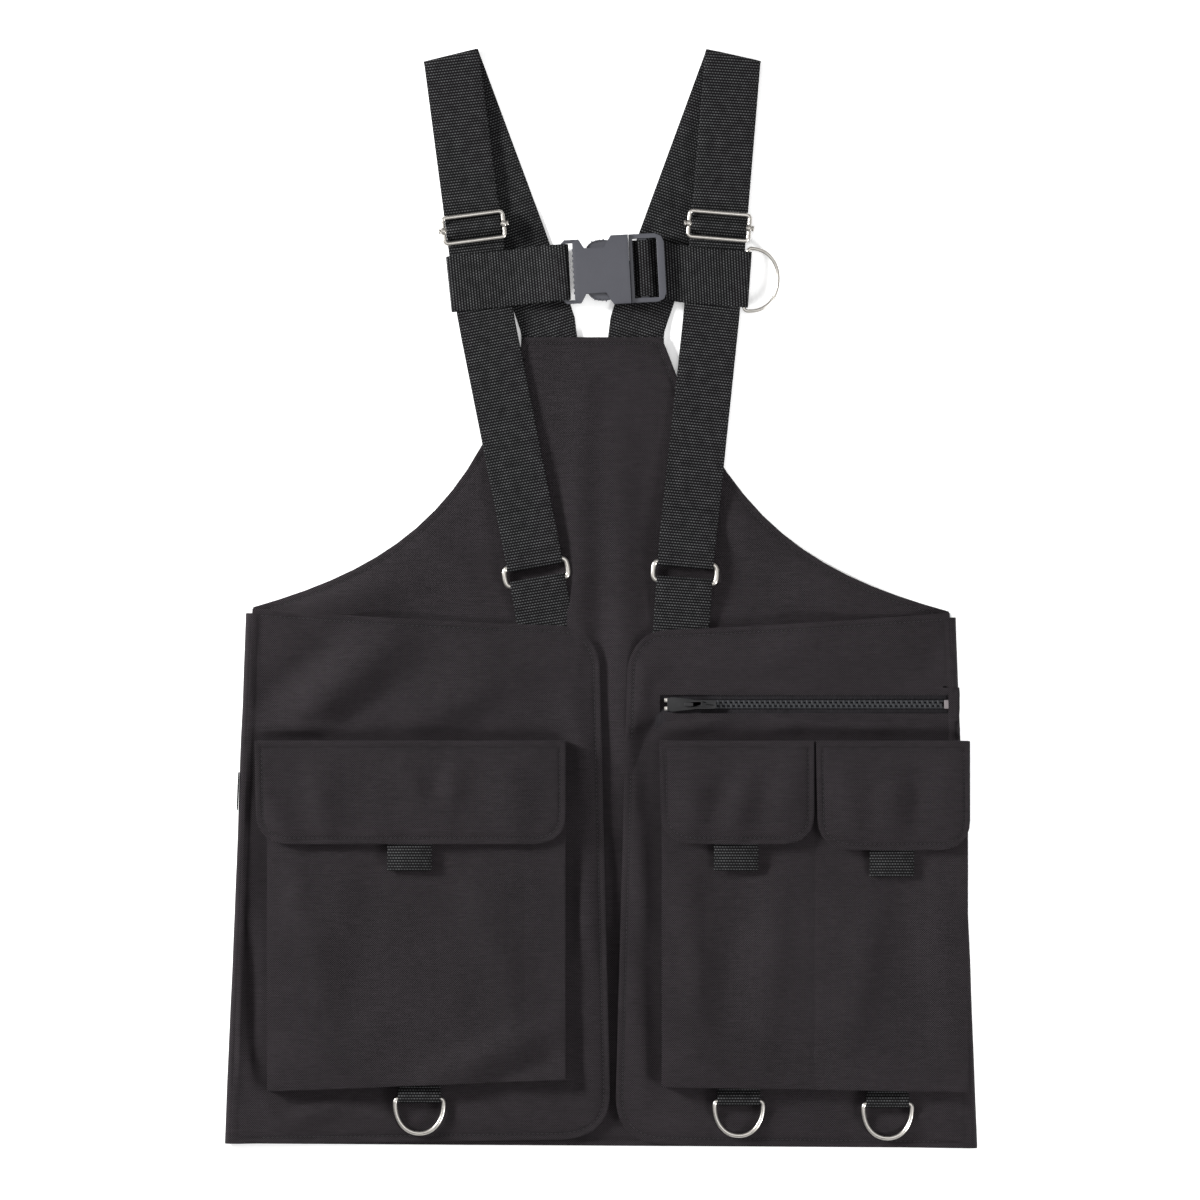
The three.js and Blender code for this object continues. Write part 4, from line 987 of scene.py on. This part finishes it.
def bent_wire(points, thickness):
    """The shape of a closed round wire through the points."""
    curve = bpy.data.curves.new("wire", "CURVE")
    curve.dimensions = "3D"
    curve.bevel_depth = thickness / 2
    curve.bevel_resolution = 4
    curve.use_fill_caps = True
    spline = curve.splines.new("POLY")
    spline.points.add(len(points) - 1)
    for knot, place in zip(spline.points, points):
        knot.co = (*place, 1)
    spline.use_cyclic_u = True
    holder = bpy.data.objects.new("wire", curve)
    bpy.context.scene.collection.objects.link(holder)
    mesh = settled_mesh(holder)
    bpy.data.objects.remove(holder)
    shape = bmesh.new()
    shape.from_mesh(mesh)
    bmesh.ops.remove_doubles(shape, verts=shape.verts, dist=1e-6)
    bmesh.ops.recalc_face_normals(shape, faces=shape.faces)
    return shape


def swing(control, steps=14):
    """Points along a curve with two handles."""
    a, b, c, d = (Vector(place) for place in control)
    line = []
    for step in range(steps):
        t = step / steps
        u = 1 - t
        line.append(a * u**3 + b * 3 * t * u**2 + c * 3 * t * t * u + d * t**3)
    return line


d_corner = 0.003
d_fullness = 0.62


def d_ring(name, node, joint, width, depth, wire):
    half = width / 2
    turn = d_corner / 3
    full_x = depth * d_fullness
    full_y = half * d_fullness
    outline = [Vector((0, d_corner - half)), Vector((0, 0))]
    outline += swing([(0, half - d_corner), (0, half - turn), (turn, half), (d_corner, half)], 6)
    outline += swing([(d_corner, half), (full_x, half), (depth, full_y), (depth, 0)])
    outline += swing([(depth, 0), (depth, -full_y), (full_x, -half), (d_corner, -half)])
    outline += swing([(d_corner, -half), (turn, -half), (0, turn - half), (0, d_corner - half)], 6)
    bar = joint_axis(joint).normalized()
    bow = Vector((0, 0, 1)).cross(bar)
    centre = joint_place(joint)
    shape = bent_wire([centre + bow * place.x + bar * place.y for place in outline], wire)
    finished(name, shape, nickel, joint.replace("_swing", "_body"), [node])


for side in ("left", "inner", "outer"):
    d_ring(f"{side}_hem_d_ring", f"{side}_hem_ring", f"{side}_hem_ring_swing", 0.033, 0.0235, 0.003)
d_ring("chest_d_ring", "chest_ring", "chest_ring_swing", 0.0426, 0.022, 0.0024)

oval_length = 0.0434
oval_width = 0.0129
oval_wire = 0.0036
oval_round = 0.0042
oval_flat = 0.0007
for side in ("left", "right"):
    joint = f"{side}_oval_ring_tilt"
    bar = joint_axis(joint).normalized()
    up = Vector((0, 0, 1)).cross(bar)
    centre = joint_place(joint) + up * (oval_width / 2)
    end = oval_length / 2
    half = oval_width / 2
    straight = end - oval_round
    bend = end - oval_flat
    outline = swing([(straight, -half), (bend, -half), (end, -half * 0.7), (end, 0)], 8)
    outline += swing([(end, 0), (end, half * 0.7), (bend, half), (straight, half)], 8)
    outline += swing([(-straight, half), (-bend, half), (-end, half * 0.7), (-end, 0)], 8)
    outline += swing([(-end, 0), (-end, -half * 0.7), (-bend, -half), (-straight, -half)], 8)
    shape = bent_wire([centre + bar * place.x + up * place.y for place in outline], oval_wire)
    node = f"{side}_oval_ring"
    finished(f"{side}_oval_wire_ring", shape, nickel, f"{node}_body", [node])


# ---- Sliders on the braces ----
# A rectangular wire frame with a bar pinned across its middle, and the brace humped over the bar. The
# bar's ends are peened over outside small bosses.

slider_length = 0.041
slider_width = 0.0175
slider_wire = 0.003
slider_corner = 0.0025
boss_radius = 0.0028
boss_length = 0.0026
pin_radius = 0.0015
pin_head = 0.002
pin_head_length = 0.0016


def soften(shape, made, soft, segments=2):
    """Rounds the sharp edges of what was just made, in the order of its corners."""
    edges = [edge for vert in made["verts"] for edge in vert.link_edges if edge.calc_face_angle() > 1]
    bmesh.ops.bevel(
        shape, geom=list(dict.fromkeys(edges)), offset=soft, affect="EDGES", segments=segments,
        profile=0.5, material=-1
    )


def add_rod(shape, centre, direction, radius, length, soft=0.0004):
    turn = Vector(direction).to_track_quat("Z", "Y").to_matrix().to_4x4()
    made = bmesh.ops.create_cone(
        shape, cap_ends=True, segments=20, radius1=radius, radius2=radius, depth=length,
        matrix=Matrix.Translation(centre) @ turn
    )
    soften(shape, made, soft)


for side in ("left", "right"):
    up = joint_axis(f"{side}_slider_slide").normalized()
    across = up.cross(Vector((0, 0, 1)))
    low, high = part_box(f"{side}_slider_frame")
    centre = (low + high) / 2
    reach = slider_length / 2 - slider_corner
    rise = slider_width / 2 - slider_corner
    outline = []
    for x, y, first in ((reach, rise, 0), (-reach, rise, 90), (-reach, -rise, 180), (reach, -rise, 270)):
        for step in range(7):
            angle = math.radians(first + 15 * step)
            outline.append((x + slider_corner * math.cos(angle), y + slider_corner * math.sin(angle)))
    shape = bent_wire([centre + across * x + up * y for x, y in outline], slider_wire)
    for end in (-1, 1):
        add_rod(shape, centre + across * end * slider_length / 2, across, boss_radius, boss_length)
    body = f"{side}_slider"
    finished(f"{body}_wire_frame", shape, nickel, body, [f"{body}_frame"])
    pin = bmesh.new()
    pin_reach = slider_length / 2 + slider_wire / 2 + 0.0019
    add_rod(pin, centre, across, pin_radius, 2 * pin_reach - 0.001)
    for end in (-1, 1):
        head = centre + across * end * (pin_reach - pin_head_length / 2)
        add_rod(pin, head, across, pin_head, pin_head_length, soft=0.0006)
    finished(f"{body}_pin", pin, nickel, body, [f"{body}_bar"])
    weave_strap(f"{body}_hump", f"{body}_webbing", body, up, every=bend_slice)


# ---- Chest strap ----
# The same webbing in two halves. Each loops round its brace and is sewn back on itself; the left half
# holds the buckle's socket, and the right half passes over the plug's bar and holds the chest ring.

chest_seam_length = 0.033
tail_from_plug = 0.0309
tail_height = 0.0040
tail_size = (0.0040, 0.038, 0.0011)
chest_way = joint_axis("buckle_release").normalized()
left_chest = weave_strap(
    "left_chest_webbing", "left_chest_strap", "vest_back", chest_way, degree=1, every=bend_slice
)
right_chest = weave_strap("right_chest_webbing", "right_chest_strap", None, chest_way, every=bend_slice)
plug_low, plug_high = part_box("buckle_plug")
strap_y = (plug_low.y + plug_high.y) / 2
strap_way = Vector((0, 0, 1)).cross(chest_way)
for side, strap, seams in (
    ("left", left_chest, (-0.0745, -0.0305)),
    ("right", right_chest, (0.0815, 0.0950)),
):
    skin = surface_of(strap)
    for number, seam_x in enumerate(seams):
        foot = Vector((seam_x, strap_y + (seam_x - plug_high.x) * chest_way.y / chest_way.x))
        half = strap_way.to_2d() * (chest_seam_length / 2)
        sew(f"{side}_chest_stitches_{number}", [foot - half, foot + half], skin, "vest_back")

strap_turn = Matrix((chest_way, strap_way, (0, 0, 1))).transposed().to_4x4()
tail_place = Matrix.Translation((plug_low.x + tail_from_plug, strap_y, tail_height))
tail = bmesh.new()
bmesh.ops.create_cube(tail, size=1, matrix=tail_place @ strap_turn @ Matrix.Diagonal((*tail_size, 1)))
round_edges(tail, 0.0004)
strap_tail = finished("right_chest_strap_tail", tail, webbing, "plug_body", [])
thread_map(strap_tail.data, chest_way)
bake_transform(right_chest)


# ---- Side-release buckle ----
# Moulded acetal. The socket has a slot for its strap and open sides, the plug has an adjuster bar, and
# the plug's two sprung arms show their ridged pads in the socket's sides.

buckle_dark = (0.027, 0.0275, 0.035, 1)
buckle_light = (0.043, 0.044, 0.054, 1)
mouth_x = 0.0117
crown_width = 0.0235
facet = 0.003
tooth_size = (0.0014, 0.0018, 0.0040)
pad_rim = 0.0013
pad_sink = 0.0008
ridge_size = (0.0009, 0.0014, 0.0060)


def resin_finish(name, dark, light, rough, gloss=0.5):
    made, shader, place = new_finish(name, Specular_IOR_Level=gloss)
    grain = place.blotches(1300.0, 3.0)
    cloud = place.blotches(60.0, 2.0)
    feed(shader, "Base Color", (cloud * 0.6 + grain * 0.9 - 0.25).between(dark, light))
    feed(shader, "Roughness", rough + grain * 0.22)
    feed(shader, "Normal", grain.bump(0.00014, 0.8))
    return made


buckle_resin = resin_finish("buckle_resin", buckle_dark, buckle_light, 0.38)
arm_root = (joint_place("upper_release_arm_press") + joint_place("lower_release_arm_press")) / 2
buckle_centre = arm_root - chest_way * mouth_x


def recess_face(shape, rim, depth):
    """Sinks the upper face and leaves a rim round it."""
    bmesh.ops.inset_region(shape, faces=top_faces(shape), thickness=rim, depth=-depth, use_even_offset=True)


def moulded(name, node, body, crown, soft, adjust=None, recess=0):
    """A moulded piece: its CAD shape with soft edges and a face that domes a little."""
    shape = shape_of(node)
    if recess:
        recess_face(shape, recess, pad_sink)
    round_edges(shape, soft, 3, 30)
    low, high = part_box(node)
    middle = (low.z + high.z) / 2
    for way, steps in ((chest_way, range(-13, 14)), (strap_way, range(-8, 9))):
        slice_across(shape, way, [way.dot(buckle_centre) + step * facet for step in steps])
    for vert in shape.verts:
        away = abs((vert.co - buckle_centre).dot(strap_way)) / crown_width
        vert.co.z = middle + (vert.co.z - middle) * (1 - crown * min(away, 1) ** 2)
    if adjust:
        adjust(shape)
    finished(name, shape, buckle_resin, body, [node], smooth_to=32)


def add_block(shape, place, size, soft):
    """A soft-edged block, turned by the matrix that places it."""
    made = bmesh.ops.create_cube(shape, size=1, matrix=place @ Matrix.Diagonal((*size, 1)))
    soften(shape, made, soft)


def on_buckle(x, y):
    place = buckle_centre + chest_way * x + strap_way * y
    return Matrix.Translation(place) @ strap_turn


def strap_teeth(shape):
    """The row of teeth along the socket's slot, which grip the strap."""
    for tooth in range(-4, 5):
        add_block(shape, on_buckle(-0.0262, tooth * 0.0036), tooth_size, 0.0004)


def pad_ridges(side):
    """The finger ridges on an arm's pad, which lies along a shallow arc."""
    def ridges(shape):
        for step in range(4):
            place = on_buckle(-0.0052 - step * 0.0026, side * (0.0206 - 0.0004 * step))
            add_block(shape, place, ridge_size, 0.0003)
    return ridges


moulded("buckle_socket_moulding", "buckle_socket", "vest_back", 0.3, 0.0012, adjust=strap_teeth)
moulded("buckle_plug_moulding", "buckle_plug", "plug_body", 0.2, 0.0010)
for arm, side in (("upper", 1), ("lower", -1)):
    moulded(f"{arm}_arm_moulding", f"{arm}_release_arm", f"{arm}_arm_body", 0.4, 0.0005,
            adjust=pad_ridges(side), recess=pad_rim)


# ---- Zip above the right pocket ----
# Moulded teeth on woven tapes, sewn behind a slot in the front, with a black enamelled slider and pull,
# two nickel stops at the open end and a moulded stop at the far end. The pocket's bag hangs behind.

tape_dark = (0.0085, 0.0078, 0.0088, 1)
# The lighter tape colour is painted highlight on the floats.
tape_highlight = (0.055, 0.050, 0.058, 1)
tooth_dark = (0.010, 0.0105, 0.012, 1)
tooth_light = (0.020, 0.021, 0.024, 1)
end_dark = (0.085, 0.074, 0.077, 1)
end_light = (0.17, 0.15, 0.155, 1)
tooth_pitch = 0.00356
zip_tooth_size = (0.00150, 0.0036, 0.0022)
tooth_offset = 0.0011
tooth_flare = 0.30
tooth_taper = 0.82
cord_offset = 0.0022
cord_radius = 0.0008
stop_size = (0.0036, 0.0030, 0.0030)
stop_offset = 0.0028
tape_finish = webbing_finish("zip_tape_weave", tape_dark, tape_highlight, 0.0009, 0.0014)
zip_resin = resin_finish("zip_resin", tooth_dark, tooth_light, 0.42, 0.3)
end_resin = resin_finish("zip_end_resin", end_dark, end_light, 0.4)


def enamel_finish():
    made, shader, place = new_finish("black_enamel", Specular_IOR_Level=0.3)
    chips = place.blotches(420.0, 4.0)
    feed(shader, "Base Color", chips.between((0.004, 0.004, 0.0045, 1), (0.012, 0.012, 0.013, 1)))
    feed(shader, "Roughness", 0.36 + chips * 0.25)
    feed(shader, "Normal", chips.bump(0.00004, 0.6))
    return made


enamel = enamel_finish()

for row in ("upper", "lower"):
    weave_strap(f"{row}_zip_tape_weave", f"{row}_zip_tape", "right_front", (1, 0), subdivide=0,
                material=tape_finish, edge=0.0001)
bag_shape = shape_of("zip_pocket_bag")
round_edges(bag_shape, 0.0002)
bag = finished("zip_pocket_bag_cloth", bag_shape, woven, "right_front", ["zip_pocket_bag"])

slider_low, slider_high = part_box("zip_slider")
zip_y = (slider_low.y + slider_high.y) / 2
teeth_low, teeth_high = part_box("upper_zip_teeth")
teeth_x = (teeth_low.x + teeth_high.x) / 2
teeth_z = (teeth_low.z + teeth_high.z) / 2


def zip_row(row, side):
    """One row: a cord along the tape, and teeth that flare and thin where they meet the other row."""
    shape = bmesh.new()
    place = Matrix.Translation((teeth_x, zip_y + side * cord_offset, teeth_z - 0.0002))
    bmesh.ops.create_cone(
        shape, cap_ends=True, segments=10, radius1=cord_radius, radius2=cord_radius,
        depth=teeth_high.x - teeth_low.x, matrix=place @ Matrix.Rotation(math.pi / 2, 4, "Y")
    )
    first = slider_high.x + 0.0015 + (0 if side > 0 else tooth_pitch / 2)
    for i in range(int((teeth_high.x + 0.001 - first) / tooth_pitch)):
        tooth_x = first + i * tooth_pitch + zip_tooth_size[0] / 2
        place = Matrix.Translation((tooth_x, zip_y + side * tooth_offset, teeth_z))
        tooth = bmesh.ops.create_cube(shape, size=1, matrix=place @ Matrix.Diagonal((*zip_tooth_size, 1)))
        for vert in tooth["verts"]:
            if side * (zip_y - vert.co.y) > -0.0003:
                vert.co.x += (vert.co.x - tooth_x) * tooth_flare
                vert.co.z = teeth_z + (vert.co.z - teeth_z) * tooth_taper
        soften(shape, tooth, 0.0003, segments=1)
    node = f"{row}_zip_teeth"
    finished(f"{node}_moulding", shape, zip_resin, "right_front", [node])


zip_row("upper", 1)
zip_row("lower", -1)

for name, node, body, material, slot, soft in (
    ("zip_end_moulding", "zip_end_stop", "right_front", end_resin, "zip_resin", 0.0005),
    ("zip_slider_casting", "zip_slider", "zip_slider_body", enamel, "painted_zinc", 0.0003),
    ("zip_pull_casting", "zip_pull", "zip_pull_body", enamel, "painted_zinc", 0.0003),
):
    shape = shape_of(node)
    if node == "zip_pull":
        recess_face(shape, 0.0008, 0.0003)
    round_edges(shape, soft, 3, 35)
    finished(name, shape, material, body, [node], smooth_to=35)

stops = bmesh.new()
for side in (-1, 1):
    place = (teeth_low.x + 0.0004, zip_y + side * stop_offset, teeth_z + 0.0001)
    add_block(stops, Matrix.Translation(place), stop_size, 0.0007)
finished("zip_top_stops", stops, nickel, "right_front", [])
